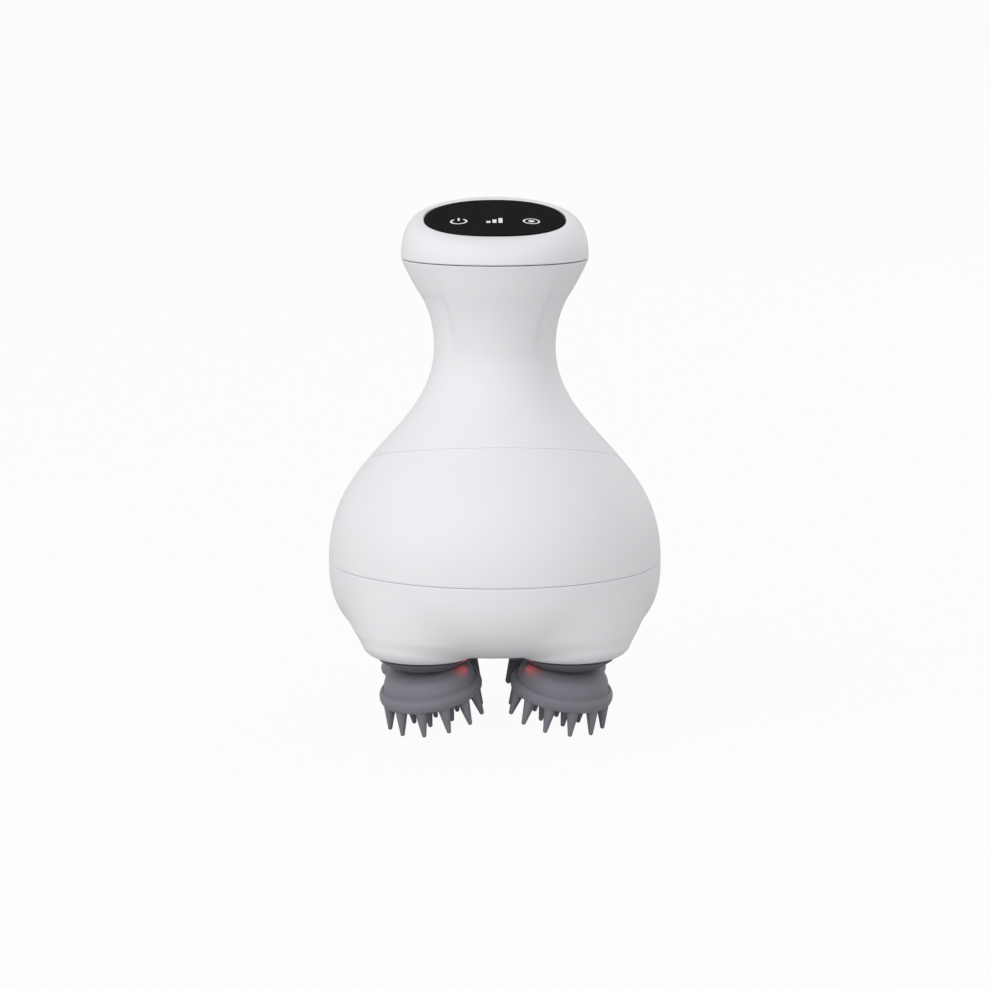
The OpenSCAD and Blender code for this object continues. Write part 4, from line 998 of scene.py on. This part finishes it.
steel = metal("steel", (0.5, 0.5, 0.52), (0.62, 0.62, 0.63), 0.3, 1.5)
plated_steel = metal("plated_steel", (0.58, 0.58, 0.57), (0.68, 0.67, 0.65), 0.27, 4)
sintered_bronze = metal("sintered_bronze", (0.45, 0.3, 0.16), (0.56, 0.4, 0.23), 0.5, 0.5)

board = Finish("circuit_board", Roughness=0.35)
cells = board.node("ShaderNodeTexVoronoi", {}, {"Vector": board.place, "Scale": 900.0}, "Distance")
board.feed("Base Color", board.mix(cells, rgb(0.012, 0.11, 0.045), rgb(0.025, 0.19, 0.08)))
board.bump(cells, 0.01)
circuit_board = board.material

lens = Finish("red_lens", Roughness=0.12, Emission_Strength=0.5, Coat_Weight=0.3)
flare = lens.noise(1.6, 2)
lens.feed("Base Color", lens.mix(flare, rgb(0.62, 0.01, 0.008), rgb(0.8, 0.03, 0.015)))
lens.feed("Emission Color", lens.mix(flare, rgb(0.85, 0.02, 0.012), rgb(1.0, 0.06, 0.03)))
red_lens = lens.material

lamp = Finish("red_light", Roughness=0.4, Emission_Strength=4.0)
lamp_spot = lamp.noise(0.8, 2)
lamp.feed("Base Color", lamp.mix(lamp_spot, rgb(0.85, 0.1, 0.05), rgb(0.95, 0.2, 0.1)))
lamp.feed("Emission Color", lamp.mix(lamp_spot, rgb(1.0, 0.05, 0.02), rgb(1.0, 0.12, 0.06)))
red_light = lamp.material

finishes = {
    "white_housing": white_housing, "black_panel": black_panel, "dark_grey_plastic": dark_grey_plastic,
    "grey_plastic": grey_plastic, "black_plastic": black_plastic, "natural_nylon": natural_nylon,
    "cell_sleeve": cell_sleeve, "grey_silicone": grey_silicone, "white_silicone": white_silicone,
    "black_rubber": black_rubber, "steel": steel, "plated_steel": plated_steel,
    "sintered_bronze": sintered_bronze, "circuit_board": circuit_board,
    "red_lens": red_lens, "red_light": red_light,
}
print(len(finishes), "finishes for the solids:", ", ".join(finishes))

# %% [markdown]
# ## Finishes on the pieces
#
# The model's record says which finish each solid has. The solids keep their meshes and get the
# new material in their own slots.

# %% Putting the finishes on
for entry in frame["record"]["subparts"]:
    solid = frame["nodes"][entry["node"]]
    finish = finishes[entry["material_slot"]]
    if not solid.material_slots:
        solid.data.materials.append(finish)
    for place_for in solid.material_slots:
        place_for.material = finish
for piece in (belly, handle, base, cap):
    piece.data.materials.clear()
    piece.data.materials.append(white_housing)
key.data.materials.append(black_panel)
print_marks.data.materials.append(print_white)
for name in HEADS:
    claws[name].data.materials.append(grey_silicone)
    collars[name].data.materials.append(dark_grey_plastic)

# %% [markdown]
# ## Studio
#
# The photograph has no visible floor: everything round the object is white. The floor here is
# nearly all white for the camera, with a little of an ordinary pale surface mixed in, so a soft
# shadow stays on it. The light is a large soft window at the upper left, a weaker one in front,
# a faint one behind at the right, and an even pale sky.

# %% Floor and sky
def white_to_camera(finish, share):
    """A factor that is the given share for what the camera sees itself, and 0 for all other light."""
    rays = finish.tree.nodes.new("ShaderNodeLightPath")
    return Wire(finish, rays.outputs["Is Camera Ray"]) * share


FLOOR_HALF, WHITE_SHARE, SKY_STRENGTH = 6.0, 0.95, 0.67
floor_finish = Finish("studio_floor", Roughness=0.9, Base_Color=rgb(0.6, 0.6, 0.6))
glow = floor_finish.tree.nodes.new("ShaderNodeEmission")
both = floor_finish.tree.nodes.new("ShaderNodeMixShader")
ending = next(n for n in floor_finish.tree.nodes if n.type == "OUTPUT_MATERIAL")
floor_finish.tree.links.new(white_to_camera(floor_finish, WHITE_SHARE).socket, both.inputs[0])
floor_finish.tree.links.new(floor_finish.shader.outputs[0], both.inputs[1])
floor_finish.tree.links.new(glow.outputs[0], both.inputs[2])
floor_finish.tree.links.new(both.outputs[0], ending.inputs[0])

floor_mesh = bpy.data.meshes.new("floor")
floor_corners = [(x * FLOOR_HALF, y * FLOOR_HALF, 0) for x, y in ((-1, -1), (1, -1), (1, 1), (-1, 1))]
floor_mesh.from_pydata(floor_corners, [], [(0, 1, 2, 3)])
floor = bpy.data.objects.new("floor", floor_mesh)
bpy.context.scene.collection.objects.link(floor)
floor.data.materials.append(floor_finish.material)

world = bpy.data.worlds.new("sky")
bpy.context.scene.world = world
world.use_nodes = True
sky = world.node_tree
background = next(n for n in sky.nodes if n.type == "BACKGROUND")
background.inputs["Color"].default_value = rgb(1, 1, 1.02)
background.inputs["Strength"].default_value = SKY_STRENGTH
seen_sky = sky.nodes.new("ShaderNodeBackground")
seen_sky.inputs["Color"].default_value = rgb(0.97, 0.97, 0.97)
rays = sky.nodes.new("ShaderNodeLightPath")
sky_mix = sky.nodes.new("ShaderNodeMixShader")
sky_end = next(n for n in sky.nodes if n.type == "OUTPUT_WORLD")
sky.links.new(rays.outputs["Is Camera Ray"], sky_mix.inputs[0])
sky.links.new(background.outputs[0], sky_mix.inputs[1])
sky.links.new(seen_sky.outputs[0], sky_mix.inputs[2])
sky.links.new(sky_mix.outputs[0], sky_end.inputs[0])
print("floor of", 2 * FLOOR_HALF, "m and a sky of strength", SKY_STRENGTH)

# %% [markdown]
# ### Lamps
#
# Three square lamps stand in for windows. Four small red spots make the glow on the claws' inner
# shoulders. They aren't at the lenses: each was placed about 17 mm from its lens, close to its
# claw, by comparing with the photograph. So the glow's place is matched, and doesn't show
# where light from the lenses would really fall.

# %% Lamps
def window(name, place, target, size, power):
    """A square soft lamp at a place in millimetres, its size in metres and its power in watts."""
    data = bpy.data.lights.new(name, "AREA")
    data.shape, data.size, data.energy = "SQUARE", size, power
    made = bpy.data.objects.new(name, data)
    bpy.context.scene.collection.objects.link(made)
    aim(made, place, target)


OBJECT_MIDDLE = (0, 0, 80)
window("window_left", (-1000, -900, 900), OBJECT_MIDDLE, 1.2, 9.0)
window("window_front", (150, -1500, 260), OBJECT_MIDDLE, 1.4, 4.8)
window("window_back", (1000, 1100, 600), OBJECT_MIDDLE, 1.0, 3.0)

for name, angle in HEADS.items():
    data = bpy.data.lights.new("red_glow_" + name, "SPOT")
    data.energy, data.color = 0.0024, (1, 0.03, 0.015)
    data.spot_size, data.spot_blend, data.shadow_soft_size = math.radians(70), 1.0, 0.002
    spot = bpy.data.objects.new("red_glow_" + name, data)
    bpy.context.scene.collection.objects.link(spot)
    sx = math.copysign(1, math.cos(math.radians(angle)))
    sy = math.copysign(1, math.sin(math.radians(angle)))
    aim(spot, (sx * 7, sy * 24.5, BOSS_Z - 1.0), (sx * 18, sy * 31.5, BOSS_Z - 5.8))
print("three windows and four red glows")

# %% [markdown]
# ## Picture settings and the end
#
# Colours are shown as they are, with no film look.

# %% Finish
bpy.context.scene.view_settings.view_transform = "Standard"
